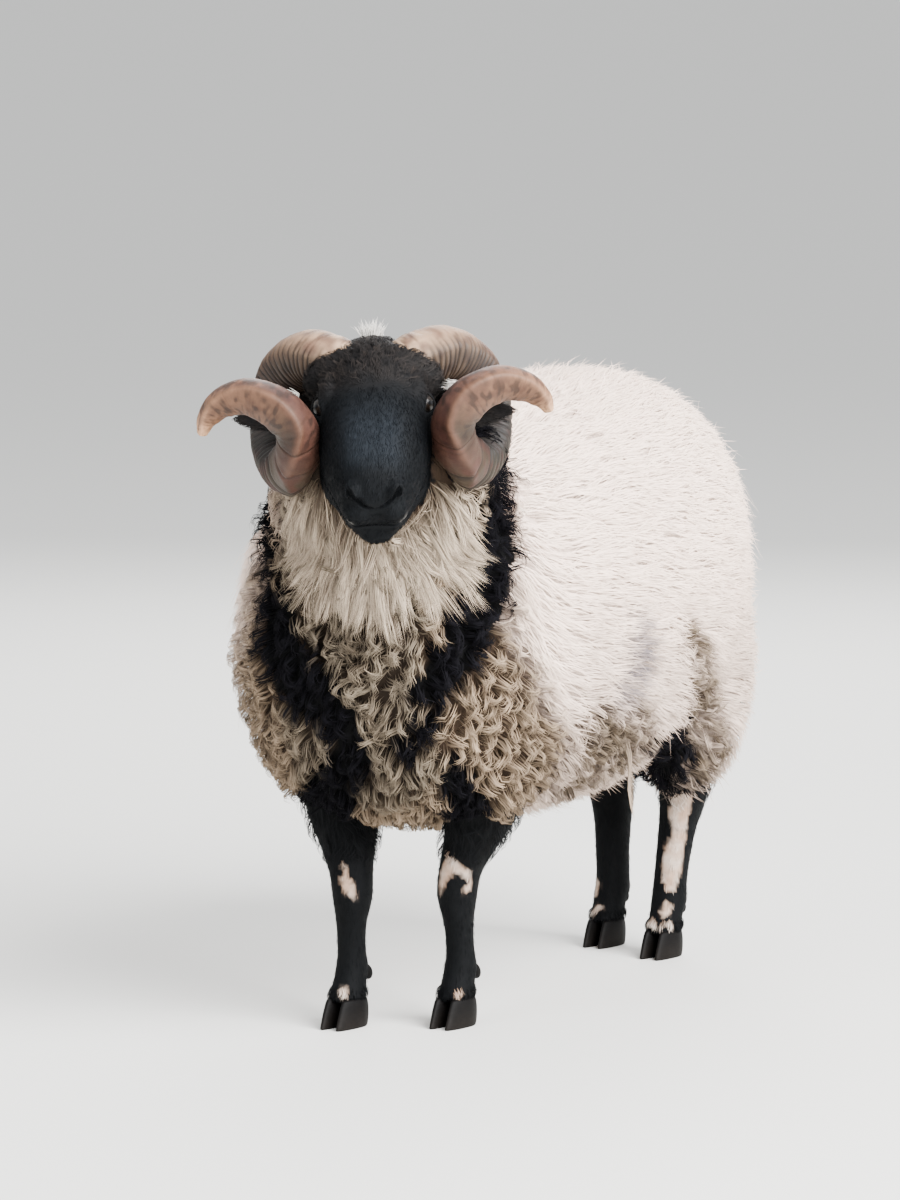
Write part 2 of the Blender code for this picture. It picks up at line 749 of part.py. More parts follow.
def clump_rows(length, wide, high, tip):
    """A fat tuft: it leaves the core, swells and tapers to a tip a little off it."""
    return (
        (-0.46 * length, -0.010, 0, 0, 0),
        (-0.26 * length, -0.002, 0.80 * wide, 0.80 * high, 0.016),
        (0.10 * length, 0.000, wide, high, 0.016),
        (0.38 * length, 0.003, 0.66 * wide, 0.62 * high, 0.012),
        (0.58 * length, tip, 0, 0, 0),
    )


def lock_rows(length, wide, thick, root, tip):
    """A long flat lock: it leaves the core, hangs over those below and tapers to a point."""
    return (
        (-0.10 * length, -0.012, 0, 0, 0),
        (0.04 * length, root * 0.4, 0.75 * wide, thick, 0.010),
        (0.30 * length, root, wide, thick, 0.010),
        (0.60 * length, 0.5 * (root + tip), 0.72 * wide, 0.75 * thick, 0.008),
        (0.86 * length, tip, 0.36 * wide, 0.45 * thick, 0.005),
        (length, tip * 0.8, 0, 0, 0),
    )


def blend(value, low, high):
    f = min(1.0, max(0.0, (value - low) / (high - low)))
    return f * f * (3 - 2 * f)


def trunk_lie(point, normal):
    """Which way the fleece of the trunk lies: down the chest, back and down the flanks, down the rump."""
    flank = Vector((0, 1.0, -0.15 - 0.75 * blend(abs(point[0]), 0.05, 0.20)))
    chest = Vector((0.25 * point[0] / 0.2, -0.15, -1.0))
    rump = Vector((0, 0.25, -1.0))
    lie = chest.lerp(flank, blend(point[1], -0.12, 0.06))
    return lie.lerp(rump, blend(point[1], 0.52, 0.66))


def trunk_spacing(point):
    """Small curls on the chest and shoulders, wide tufts on the back and flanks."""
    return 0.066 + 0.028 * blend(point[1], -0.02, 0.16)


# Nodes
def build_legs():
    for which in LEGS:
        leg(which)
        for hand in (-1, 1):
            claw(which, hand)
            dewclaw(which, hand)


def build_head():
    head = head_core(0.0)
    join(head, *head_bulges(), eyelids(-1), eyelids(1))
    thin_out(head, HEAD_TRIANGLES)
    cut(head, mouth_line())
    for side in (-1, 1):
        cut(head, nostril(side), eye(side, GAP), ear(side, GAP), horn(side, grow=GAP))
    keep_largest(head)
    for side, name in ((1, "left"), (-1, "right")):
        eye(side, name="eye_" + name)
        ear(side, name="ear_" + name)
        horn(side, name="horn_" + name)


def near_leg(point):
    tops = [top for _, top, _, _ in LEGS.values()]
    return point[2] < 0.30 and any(math.hypot(point[0] - x, point[1] - y) < 0.035 for x, y in tops)


def build_torso():
    torso = torso_core(-FLEECE_RELIEF, 28, 16)
    join(torso, *[limb(side, -FLEECE_RELIEF) for side in (-1, 1) for limb in (shoulder, haunch)])
    tree = search_tree(torso)
    draw = random.Random(SEED)
    clumps = []
    for point in spread(torso, trunk_spacing, 9000, SEED):
        out = NECK_NORMAL.dot(Vector(point) - NECK_PLANE)
        if out > 0.012 or near_leg(point):
            continue
        _, normal, _, _ = tree.find_nearest(Vector(point))
        lie = trunk_lie(point, normal)
        turn = Matrix.Rotation(math.radians(draw.uniform(-16, 16)), 3, normal)
        size = trunk_spacing(point)
        length = size * draw.uniform(1.42, 1.62)
        wide = size * draw.uniform(0.56, 0.64)
        high = FLEECE_RELIEF * draw.uniform(0.98, 1.14)
        clumps.append(lobe(tree, point, turn @ lie, clump_rows(length, wide, high, CLUMP_TIP_LIFT)))
    join(torso, *clumps)
    thin_out(torso, TORSO_TRIANGLES)
    cut(torso, half_space("neck_side", NECK_PLANE, NECK_NORMAL))
    cut(torso, *[leg(which, GAP) for which in LEGS])
    cut(torso, tail(GAP), scrotum(GAP))
    keep_largest(torso)
    cut(scrotum(), leg("hind_right", GAP), leg("hind_left", GAP))


# Rows of the ruff: across, height and length at its middle, number of locks, half its spread
RUFF = (
    (0.660, 0.105, 9, 0.122),
    (0.610, 0.110, 8, 0.100),
    (0.556, 0.105, 6, 0.072),
)


def build_neck():
    neck = neck_core(-NECK_RELIEF)
    tree = search_tree(neck)
    draw = random.Random(SEED)
    pieces = []
    for level, length, count, reach in RUFF:
        for i in range(count):
            across = reach * (2 * (i + draw.uniform(-0.2, 0.2)) / (count - 1) - 1)
            share = across / reach
            start = CROWN + ACROSS * across + FACING * 0.5
            start.z = level + 0.020 * share * share
            spot, _, _, _ = tree.ray_cast(start, -FACING)
            if spot is None:
                continue
            lie = ACROSS * 0.45 * share - HEAD_UP + FACING * 0.2
            size = length * draw.uniform(0.9, 1.12)
            rows = lock_rows(size, draw.uniform(0.0150, 0.0175), 0.009, 0.010, 0.018)
            pieces.append(lobe(tree, spot, lie, rows, 5, "lock"))
    for point in spread(neck, lambda p: NECK_SPACING, 5000, SEED + 1):
        offset = Vector(point) - CROWN
        ahead, across = offset.dot(FACING), offset.dot(ACROSS)
        inside = NECK_NORMAL.dot(Vector(point) - NECK_PLANE) < 0.010
        if inside or (ahead > -0.09 and abs(across) < 0.115 and point[2] < 0.68):
            continue
        length = NECK_SPACING * draw.uniform(1.45, 1.65)
        wide = NECK_SPACING * draw.uniform(0.56, 0.64)
        high = NECK_RELIEF * draw.uniform(0.9, 1.05)
        lie = Vector((0.0, 0.55, -0.85))
        pieces.append(lobe(tree, point, lie, clump_rows(length, wide, high, CLUMP_TIP_LIFT)))
    join(neck, *pieces)
    thin_out(neck, NECK_TRIANGLES)
    cut(neck, half_space("trunk_side", NECK_PLANE + NECK_NORMAL * GAP, -NECK_NORMAL))
    cut(neck, head_core(2 * GAP), *head_bulges(GAP))
    for side in (-1, 1):
        cut(neck, horn(side, grow=GAP), ear(side, grow=GAP))
    keep_largest(neck)


# Rows of locks down the back of the tail: height, number, half spread
TAIL_LOCKS = (
    (0.575, 2, 0.014),
    (0.530, 3, 0.024),
    (0.485, 2, 0.016),
    (0.440, 3, 0.022),
    (0.390, 2, 0.014),
)
TAIL_RELIEF = 0.008


def build_tail():
    piece = tail(-TAIL_RELIEF)
    tree = search_tree(piece)
    draw = random.Random(SEED)
    locks = []
    for level, count, reach in TAIL_LOCKS:
        for i in range(count):
            across = reach * (2 * i / (count - 1) - 1)
            spot, _, _, _ = tree.ray_cast(Vector((across, 1.0, level)), Vector((0, -1, 0)))
            length = draw.uniform(0.078, 0.090)
            rows = lock_rows(length, 0.016, TAIL_RELIEF, 0.003, 0.008)
            locks.append(lobe(tree, spot, Vector((0.5 * across, 0, -1)), rows, 5, "lock"))
    join(piece, *locks)
    thin_out(piece, TAIL_TRIANGLES)
    keep_largest(piece)


def centre_on_floor():
    """Moves every node so that the centre of the whole box's base is the origin."""
    nodes = list(bpy.context.scene.collection.objects)
    corners = np.array([v.co for obj in nodes for v in obj.data.vertices])
    low, high = corners.min(axis=0), corners.max(axis=0)
    shift = Vector((-(low[0] + high[0]) / 2, -(low[1] + high[1]) / 2, -low[2]))
    for obj in nodes:
        obj.data.transform(Matrix.Translation(shift))
        obj.data.shade_smooth()
        obj.data.set_sharp_from_angle(angle=math.radians(50))


def main():
    clear_scene()
    build_legs()
    build_head()
    build_neck()
    build_torso()
    build_tail()
    centre_on_floor()


main()
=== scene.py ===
"""The looks of a standing Mayo blackface ram: skin, fleece, hair, horns, eyes and claws.

Metres, +Z up. The forms are written as in the solids, from the ground point midway between the
front feet, with the ram facing -Y and its left side at +X, and SHIFT moves them all into place.
"""

import math

import bmesh
import bpy
import numpy as np
from mathutils import Matrix, Vector, noise
from mathutils.kdtree import KDTree


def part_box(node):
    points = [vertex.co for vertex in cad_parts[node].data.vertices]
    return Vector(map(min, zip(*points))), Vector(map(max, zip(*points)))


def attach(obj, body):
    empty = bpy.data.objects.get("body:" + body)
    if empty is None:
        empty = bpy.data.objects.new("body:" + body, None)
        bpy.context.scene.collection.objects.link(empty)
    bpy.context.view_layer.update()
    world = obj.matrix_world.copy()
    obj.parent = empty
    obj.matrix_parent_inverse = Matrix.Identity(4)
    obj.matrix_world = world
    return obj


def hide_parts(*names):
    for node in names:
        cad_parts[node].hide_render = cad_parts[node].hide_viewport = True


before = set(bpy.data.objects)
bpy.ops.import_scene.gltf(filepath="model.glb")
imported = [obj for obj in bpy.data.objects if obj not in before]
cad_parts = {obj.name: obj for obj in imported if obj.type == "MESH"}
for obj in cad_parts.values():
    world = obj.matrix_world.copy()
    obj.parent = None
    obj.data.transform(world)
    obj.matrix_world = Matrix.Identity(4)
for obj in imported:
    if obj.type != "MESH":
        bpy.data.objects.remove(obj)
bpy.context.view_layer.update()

# Sizes shared with the solids
HEAD_YAW = math.radians(28.0)
HEAD_ROLL = math.radians(1.9)
FACE_SLOPE = math.radians(47.0)
CROWN = np.array([0.069, -0.201, 0.806])
STRIDE = 0.583
EYE_RADIUS = 0.0128
EYE_GAP = 0.0002
HOOF_HEIGHT = 0.0340
SEED = 11

# How far the skin lies under the outer form of each part: the fleece's depth, or the hair's
WOOL_DEPTH = 0.021
NECK_DEPTH = 0.018
TAIL_DEPTH = 0.010
HAIR_DEPTH = 0.0020
BODY_VOXEL = 0.0055
HEAD_VOXEL = 0.0023
DENSITY = 1.0


def linear(code):
    """A hex colour turned to linear red, green and blue."""
    values = [int(code[i:i + 2], 16) / 255 for i in (1, 3, 5)]
    return np.array([v / 12.92 if v <= 0.04045 else ((v + 0.055) / 1.055) ** 2.4 for v in values])


# Root colours are darker than tip colours: painted shade deep in the coat and between its locks
CREAM_ROOT, CREAM_TIP = linear("#F7DDCD"), linear("#FFE4D2")
RUFF_ROOT, RUFF_TIP = linear("#42352A"), linear("#C6B39D")
TAN_ROOT, TAN_TIP = linear("#3D3026"), linear("#A18C75")
BIB_ROOT, BIB_TIP = linear("#29211A"), linear("#7F7363")
BLACK_ROOT, BLACK_TIP = linear("#040405"), linear("#100F13")
DUST_AND_SHADE_ROOT, DUST_AND_SHADE_TIP = linear("#463A2F"), linear("#8F7E6B")
LILAC = linear("#7F7679")
HAIR_ROOT, HAIR_TIP = linear("#050607"), linear("#0D0F12")
# A painted sheen for the middle of the nose
NOSE_SHEEN_BLUE = linear("#1A1E23")
HAIR_BROWN = linear("#3A332F")
PATCH_ROOT, PATCH_TIP = linear("#7E6350"), linear("#C0A591")
WHITE_TIP = linear("#E9E4DC")
EYE_IRIS, EYE_BALL, EYE_PUPIL = linear("#150D07"), linear("#0B0908"), linear("#060608")
CLAW_SOLE, CLAW_WALL = linear("#100D0B"), linear("#050404")
FLOOR_GREY = linear("#D9D8D4")


# Vectors
def unit(v):
    return v / np.maximum(np.linalg.norm(v, axis=-1, keepdims=True), 1e-9)


def ease(value, low, high):
    f = np.clip((value - low) / (high - low), 0.0, 1.0)
    return f * f * (3 - 2 * f)


def mix(a, b, share):
    share = np.asarray(share)[..., None]
    return a * (1 - share) + b * share


def turned(vectors, axes, angles):
    """Vectors turned about unit axes."""
    c, s = np.cos(angles)[:, None], np.sin(angles)[:, None]
    along = np.sum(vectors * axes, axis=1, keepdims=True)
    return vectors * c + np.cross(axes, vectors) * s + axes * along * (1 - c)


def wobble(points, size, seed=0.0):
    """Smooth noise from -1 to 1 whose bumps are about size across."""
    scale = 1.0 / size
    shifted = (points * scale + seed * 7.3).tolist()
    return np.array([noise.noise(p) for p in shifted])


def tree_of(points):
    """A tree that finds the nearest of these points."""
    tree = KDTree(len(points))
    for i, point in enumerate(points):
        tree.insert(point, i)
    tree.balance()
    return tree


def one_way(way, points):
    """The same heading at each of the points."""
    return unit(np.tile(way, (len(points), 1)))


def head_axes():
    facing = Vector((math.sin(HEAD_YAW), -math.cos(HEAD_YAW), 0.0))
    roll = Matrix.Rotation(HEAD_ROLL, 3, facing)
    up = roll @ Vector((0.0, 0.0, 1.0))
    across = roll @ Vector((math.cos(HEAD_YAW), math.sin(HEAD_YAW), 0.0))
    along = math.cos(FACE_SLOPE) * facing - math.sin(FACE_SLOPE) * up
    out = math.sin(FACE_SLOPE) * facing + math.cos(FACE_SLOPE) * up
    return [np.array(v) for v in (facing, up, across, along, out)]


FACING, HEAD_UP, ACROSS, ALONG, OUT = head_axes()
UP = np.array([0.0, 0.0, 1.0])


def on_head(across, along, out):
    """A point of the head, from the crown."""
    return CROWN + ACROSS * across + ALONG * along + OUT * out


def beside_head(across, back, up):
    """A point round the head, from the crown, level with the ground."""
    return CROWN + ACROSS * across - FACING * back + HEAD_UP * up


EYE_AT = (0.0545, 0.071, -0.026)


def eye_centre(side):
    return on_head(side * EYE_AT[0], EYE_AT[1], EYE_AT[2])


left_low, left_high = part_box("eye_left")
SHIFT = np.array((left_low + left_high) / 2) - eye_centre(1)


# Mesh making
def add(name, points, faces):
    mesh = bpy.data.meshes.new(name)
    mesh.from_pydata(np.asarray(points, float).tolist(), [], faces)
    made = bmesh.new()
    made.from_mesh(mesh)
    bmesh.ops.recalc_face_normals(made, faces=made.faces)
    if made.calc_volume(signed=True) < 0:
        bmesh.ops.reverse_faces(made, faces=made.faces)
    made.to_mesh(mesh)
    made.free()
    obj = bpy.data.objects.new(name, mesh)
    bpy.context.scene.collection.objects.link(obj)
    return obj


def smooth(rows, count):
    """count rows at even steps along the smooth curve through the rows given."""
    rows = np.array(rows, float)
    more = np.vstack([2 * rows[0] - rows[1], rows, 2 * rows[-1] - rows[-2]])
    place = np.linspace(0, len(rows) - 1, count)
    first = np.minimum(place.astype(int), len(rows) - 2)
    f = (place - first)[:, None]
    a, b, c, d = more[first], more[first + 1], more[first + 2], more[first + 3]
    return 0.5 * (
        2 * b
        + (c - a) * f
        + (2 * a - 5 * b + 4 * c - d) * f**2
        + (3 * b - a - 3 * c + d) * f**3
    )


def tube_rings(rows, up, sides, grow=0.0, axis=None):
    """Rings along a path. A row is x, y, z, half width, reach up, reach down, squareness."""
    path = rows[:, :3].copy()
    tangents = unit(np.gradient(path, axis=0)) if axis is None else one_way(axis, path)
    path[0] -= tangents[0] * grow
    path[-1] += tangents[-1] * grow
    turn = np.linspace(0, 2 * math.pi, sides, endpoint=False)
    rings = []
    for point, tangent, row in zip(path, tangents, rows):
        rise = unit(np.array(up) - tangent * (np.array(up) @ tangent))
        side = np.cross(tangent, rise)
        width, high, low = np.maximum(row[3:6] + grow, 0.0015)
        x = np.sign(np.cos(turn)) * np.abs(np.cos(turn)) ** (2 / row[6]) * width
        y = np.sign(np.sin(turn)) * np.abs(np.sin(turn)) ** (2 / row[6])
        y = y * np.where(y > 0, high, low)
        rings.append(point + np.outer(x, side) + np.outer(y, rise))
    return np.array(rings)


def shell(name, rings):
    """A closed surface through rings of points, with a fan at each end."""
    count, sides = len(rings), len(rings[0])
    points = np.vstack([rings.reshape(-1, 3), rings[0].mean(axis=0), rings[-1].mean(axis=0)])
    faces = []
    for i in range(count - 1):
        for k in range(sides):
            m = (k + 1) % sides
            faces.append((i * sides + k, i * sides + m, (i + 1) * sides + m, (i + 1) * sides + k))
    start, end, last = count * sides, count * sides + 1, (count - 1) * sides
    for k in range(sides):
        m = (k + 1) % sides
        faces.append((start, m, k))
        faces.append((end, last + k, last + m))
    return add(name, points, faces)


def tube(name, stations, up, sides, count, grow=0.0, axis=None):
    return shell(name, tube_rings(smooth(stations, count), up, sides, grow, axis))


def ball(name, centre, radii, axes=((1, 0, 0), (0, 1, 0), (0, 0, 1)), segments=36, rings=24):
    """An ellipsoid whose three radii lie along the axes given."""
    made = bmesh.new()
    bmesh.ops.create_uvsphere(made, u_segments=segments, v_segments=rings, radius=1.0)
    points = np.array([v.co for v in made.verts]) * np.array(radii)
    faces = [[v.index for v in f.verts] for f in made.faces]
    made.free()
    return add(name, points @ np.array(axes) + np.array(centre), faces)


def apply_modifiers(obj):
    """Puts the shape that the modifiers make into the object's own mesh."""
    graph = bpy.context.evaluated_depsgraph_get()
    made = bpy.data.meshes.new_from_object(obj.evaluated_get(graph))
    obj.modifiers.clear()
    obj.data = made
    return obj


def boolean(obj, other, operation):
    modifier = obj.modifiers.new("boolean", "BOOLEAN")
    modifier.object = other
    modifier.operation = operation
    modifier.solver = "MANIFOLD"
    apply_modifiers(obj)
    bpy.data.objects.remove(other)


def remeshed(pieces, voxel, passes):
    """One closed even surface round all the pieces, smoothed."""
    bpy.ops.object.select_all(action="DESELECT")
    for piece in pieces:
        piece.select_set(True)
    bpy.context.view_layer.objects.active = pieces[0]
    bpy.ops.object.join()
    whole = pieces[0]
    modifier = whole.modifiers.new("remesh", "REMESH")
    modifier.mode = "VOXEL"
    modifier.voxel_size = voxel
    modifier = whole.modifiers.new("smooth", "SMOOTH")
    modifier.factor = 0.5
    modifier.iterations = passes
    return apply_modifiers(whole)


# The trunk: y, top, bottom, half width
TORSO = (
    (-0.176, 0.530, 0.420, 0.056),
    (-0.150, 0.612, 0.325, 0.128),
    (-0.085, 0.682, 0.250, 0.181),
    (0.030, 0.720, 0.226, 0.211),
    (0.180, 0.738, 0.221, 0.226),
    (0.330, 0.747, 0.230, 0.228),
    (0.470, 0.747, 0.262, 0.212),
    (0.590, 0.709, 0.320, 0.166),
    (0.655, 0.652, 0.390, 0.110),
    (0.686, 0.600, 0.460, 0.052),
)
WIDEST = 0.43


def torso_form(grow):
    rows = []
    for y, top, bottom, width in TORSO:
        middle = bottom + WIDEST * (top - bottom)
        rows.append((0.0, y, middle, width, top - middle, middle - bottom, 2.25))
    return tube("torso_form", rows, (0, 0, 1), 72, 60, grow, (0, 1, 0))


# The left shoulder and haunch: middle, and half width, length and height
MUSCLES = (
    ((0.108, 0.005, 0.36), (0.082, 0.105, 0.118)),
    ((0.102, 0.515, 0.385), (0.092, 0.130, 0.180)),
)


def muscle_form(side, middle, radii, grow):
    x, y, z = middle
    return ball("muscle", (side * x, y, z), np.array(radii) + grow)


NECK = (
    (0.000, 0.020, 0.535, 0.165, 0.160, 0.165, 2.1),
    (0.015, -0.050, 0.600, 0.150, 0.135, 0.140, 2.1),
    (0.040, -0.110, 0.660, 0.132, 0.108, 0.115, 2.1),
    (0.058, -0.155, 0.712, 0.106, 0.080, 0.095, 2.1),
    (0.066, -0.180, 0.742, 0.080, 0.052, 0.075, 2.1),
)


# The head: along the face, top of the nose, under the jaw, half width, squareness
HEAD = (
    (-0.044, -0.058, -0.085, 0.020, 2.0),
    (-0.030, -0.028, -0.108, 0.038, 2.0),
    (-0.004, -0.002, -0.128, 0.056, 2.0),
    (0.030, 0.011, -0.142, 0.0680, 2.1),
    (0.066, 0.013, -0.148, 0.0665, 2.3),
    (0.105, 0.012, -0.142, 0.0635, 2.6),
    (0.140, 0.010, -0.130, 0.0575, 2.7),
    (0.168, 0.004, -0.116, 0.0465, 2.5),
    (0.192, -0.010, -0.105, 0.0370, 2.3),
    (0.207, -0.030, -0.088, 0.0240, 2.2),
)
# Brows, cheeks, nose wings and lips: across, along, out, and their three radii
BULGES = (
    (0.046, 0.056, -0.012, 0.0150, 0.026, 0.0115),
    (0.038, 0.098, -0.104, 0.0260, 0.050, 0.0340),
    (0.0235, 0.188, -0.020, 0.0115, 0.020, 0.0100),
    (0.0185, 0.196, -0.050, 0.0190, 0.017, 0.0170),
    (0.0165, 0.184, -0.077, 0.0175, 0.022, 0.0135),
)
CHIN = (0.0, 0.187, -0.088, 0.0265, 0.026, 0.0185)
# The woolly top of the head, which covers the foot of each horn: back, up and three radii
TOPKNOT = (0.000, -0.043, 0.0760, 0.0260, 0.0400)


def head_form(grow):
    rows = []
    for along, top, bottom, width, square in HEAD:
        middle, half = (top + bottom) / 2, (top - bottom) / 2
        rows.append((*on_head(0, along, middle), width, half, half, square))
    return tube("head_form", rows, tuple(OUT), 64, 70, grow, tuple(ALONG))


def bulge_forms(grow):
    made = []
    for side in (-1, 0, 1):
        for row in BULGES if side else (CHIN,):
            centre = on_head(side * row[0], row[1], row[2])
            made.append(ball("bulge", centre, np.array(row[3:]) + grow, (ACROSS, ALONG, OUT)))
    back, up, wide, deep, high = TOPKNOT
    topknot = beside_head(0, back, up)
    made.append(ball("topknot", topknot, (wide, deep, high), (ACROSS, FACING, HEAD_UP)))
    return made


def eye_facing(side):
    return unit(ACROSS * 0.80 * side + ALONG * 0.18 + OUT * 0.57)


# The lids' rim: half length, half height, thickness, how far out, and how far it wraps round
LIDS = (0.0150, 0.0082, 0.0038, 0.0086, 0.005)


def lid_ring(side):
    """The rim of the lids: an almond round the eye that droops towards the nose."""
    length, height, thick, raised, wrap = LIDS
    facing = eye_facing(side)
    centre = eye_centre(side) + facing * raised
    long_way = unit(ALONG - facing * (facing @ ALONG))
    high_way = np.cross(facing, long_way)
    turn = np.linspace(0, 2 * math.pi, 48, endpoint=False)[:, None]
    corner = np.cos(turn)
    path = centre + long_way * length * corner + high_way * height * np.sin(turn)
    path = path - facing * wrap * corner**2
    tangent = unit(np.roll(path, -1, axis=0) - np.roll(path, 1, axis=0))
    outward = unit(np.cross(tangent, facing))
    sides, points, faces = 10, [], []
    for k in range(sides):
        a = 2 * math.pi * k / sides
        points.append(path + outward * thick * math.cos(a) + facing * thick * math.sin(a))
    points = np.array(points)
    count = len(path)
    for k in range(sides):
        m = (k + 1) % sides
        for i in range(count):
            n = (i + 1) % count
            faces.append((k * count + i, k * count + n, m * count + n, m * count + i))
    return add("lids", points.reshape(-1, 3), faces)


# The nostril, from its outer end: across, along, out, half width and depth; then the line of its rim
NOSTRIL = (
    (0.0340, 0.196, -0.003, 0.0028, 0.0080),
    (0.0295, 0.205, -0.014, 0.0056, 0.0150),
    (0.0205, 0.212, -0.026, 0.0056, 0.0170),
    (0.0110, 0.215, -0.034, 0.0046, 0.0150),
    (0.0010, 0.217, -0.038, 0.0034, 0.0130),
)
NOSTRIL_RIM = ((0.033, 0.198, -0.004), (0.030, 0.204, -0.012), (0.021, 0.212, -0.025),
               (0.011, 0.216, -0.033), (0.003, 0.218, -0.037))
MOUTH = ((-0.043, 0.118, -0.066), (-0.036, 0.150, -0.071), (-0.022, 0.178, -0.070), (0.0, 0.190, -0.066),
         (0.022, 0.178, -0.070), (0.036, 0.150, -0.071), (0.043, 0.118, -0.066))


def nostril_form(side):
    """A comma-shaped hollow, wide and high on the outside."""
    rows = [(*on_head(side * across, along, out), wide, deep, deep, 2.0)
            for across, along, out, wide, deep in NOSTRIL]
    return tube("nostril", rows, tuple(ALONG), 20, 20)


def mouth_form():
    """The closed mouth: a groove that runs back round the muzzle and turns up a little at its ends."""
    steps, wide, slot = 40, 0.07, 0.0013
    points, faces = [], []
    middle = np.array([0.0, 0.110, -0.066])
    for row in smooth(MOUTH, steps):
        away = unit((row - middle) * np.array([1, 1, 0]))
        for reach, lift in ((0.0, -slot), (wide, -slot * 2.5), (wide, slot * 2.5), (0.0, slot)):
            spot = row + away * reach
            points.append(on_head(spot[0], spot[1], spot[2] + lift))
    for i in range(steps - 1):
        for k in range(4):
            m = (k + 1) % 4
            faces.append((i * 4 + k, i * 4 + m, i * 4 + 4 + m, i * 4 + 4 + k))
    faces += [(0, 1, 2, 3), tuple((steps - 1) * 4 + k for k in (3, 2, 1, 0))]
    return add("mouth", points, faces)


# Ears: a cupped leaf out of the side of the head
EAR_LENGTH = 0.100
EAR_HALF_WIDTH = 0.0235
EAR_CUP = 0.0105
EAR_THICKNESS = 0.0034
EAR_RIM = 0.0008
EAR_POINTS = 14


def ear_frame(side):
    root = beside_head(side * 0.054, 0.016, -0.070)
    tip = beside_head(side * 0.157, 0.022, -0.083)
    out = unit(tip - root)
    front = unit(FACING * 0.93 - HEAD_UP * 0.36)
    front = unit(front - out * (front @ out))
    return root, out, front, np.cross(out, front)


def ear_form(side):
    root, out, front, edge = ear_frame(side)
    rings = []
    for f in np.linspace(0, 1, 30):
        width = EAR_HALF_WIDTH * math.sin(math.pi * (0.16 + 0.80 * f) ** 0.80) ** 0.75
        cup = EAR_CUP * math.sin(math.pi * min(1.0, 0.35 + 0.65 * f))
        thick = EAR_THICKNESS * (1.25 - 0.75 * f) / 2
        spine = root + out * (f * EAR_LENGTH)
        v = np.concatenate([np.linspace(-1, 1, EAR_POINTS), np.linspace(1, -1, EAR_POINTS)])[:, None]
        face = np.repeat([1.0, -1.0], EAR_POINTS)[:, None]
        thin = thick * (1 - 0.9 * v**4)
        rings.append(spine + edge * (width - EAR_RIM) * v + front * (cup * v * v + face * thin))
    return shell("ear_form", np.array(rings))


# Legs. A row is height, how far the path has gone from the body to the foot, y shift, half width,
# reach back, reach forward
FRONT_LEG = (
    (0.320, 0.00, 0.004, 0.0440, 0.060, 0.052),
    (0.285, 0.12, 0.009, 0.0440, 0.064, 0.049),
    (0.240, 0.36, 0.011, 0.0400, 0.058, 0.042),
    (0.208, 0.68, 0.009, 0.0325, 0.042, 0.034),
    (0.178, 1.00, 0.006, 0.0268, 0.029, 0.030),
    (0.150, 1.10, 0.005, 0.0248, 0.026, 0.028),
    (0.118, 1.03, 0.004, 0.0192, 0.022, 0.021),
    (0.086, 1.00, 0.005, 0.0182, 0.023, 0.019),
    (0.066, 1.00, 0.006, 0.0205, 0.027, 0.022),
    (0.050, 1.00, 0.001, 0.0208, 0.024, 0.024),
    (0.030, 1.00, -0.005, 0.0240, 0.026, 0.028),
)
HIND_LEG = (
    (0.340, 0.00, -0.006, 0.0600, 0.084, 0.074),
    (0.300, 0.22, 0.000, 0.0540, 0.070, 0.064),
    (0.255, 0.48, 0.016, 0.0430, 0.054, 0.050),
    (0.215, 0.70, 0.032, 0.0330, 0.043, 0.038),
    (0.185, 0.82, 0.034, 0.0285, 0.038, 0.033),
    (0.155, 0.90, 0.026, 0.0245, 0.031, 0.029),
    (0.115, 0.96, 0.017, 0.0225, 0.028, 0.026),
    (0.084, 1.00, 0.012, 0.0225, 0.028, 0.025),
    (0.066, 1.00, 0.010, 0.0238, 0.030, 0.026),
    (0.050, 1.00, 0.002, 0.0222, 0.026, 0.025),
    (0.030, 1.00, -0.005, 0.0245, 0.027, 0.028),
)
# Name: side, where it leaves the body (x, y), where it stands (x, y), shape
LEGS = {
    "front_left": (1, (0.088, 0.026), (0.055, 0.026), FRONT_LEG),
    "front_right": (-1, (-0.088, -0.020), (-0.054, -0.038), FRONT_LEG),
    "hind_left": (1, (0.104, 0.535), (0.061, STRIDE - 0.022), HIND_LEG),
    "hind_right": (-1, (-0.092, 0.560), (-0.040, STRIDE + 0.020), HIND_LEG),
}


def leg_form(which, grow):
    _, top, foot, shape = LEGS[which]
    rows = []
    for height, gone, shift, width, back, fore in shape:
        x = top[0] + (foot[0] - top[0]) * gone
        y = top[1] + (foot[1] - top[1]) * gone + shift
        rows.append((x, y, height, width, back, fore, 2.1))
    return tube("leg_form", rows, (0, 1, 0), 36, 70, grow, (0, 0, -1))


TAIL = (
    (0.0, 0.640, 0.610, 0.026, 0.026, 0.026, 2.0),
    (0.0, 0.688, 0.592, 0.034, 0.028, 0.026, 2.0),
    (0.0, 0.718, 0.545, 0.041, 0.028, 0.026, 2.0),
    (0.0, 0.726, 0.475, 0.042, 0.028, 0.028, 2.0),
    (0.0, 0.722, 0.405, 0.038, 0.027, 0.027, 2.0),
    (0.0, 0.716, 0.345, 0.026, 0.020, 0.020, 2.0),
    (0.0, 0.713, 0.312, 0.010, 0.008, 0.008, 2.0),
)
SCROTUM = (
    (0.0, 0.552, 0.380, 0.028, 0.026, 0.026, 2.0),
    (0.0, 0.556, 0.320, 0.027, 0.025, 0.024, 2.0),
    (0.0, 0.558, 0.275, 0.036, 0.030, 0.028, 2.2),
    (0.0, 0.558, 0.248, 0.034, 0.029, 0.028, 2.2),
    (0.0, 0.558, 0.230, 0.018, 0.017, 0.017, 2.0),
)


# One skin over everything but eyes, horns and claws
PARTS = ("trunk", "neck", "head", "ear", "leg", "tail", "scrotum")


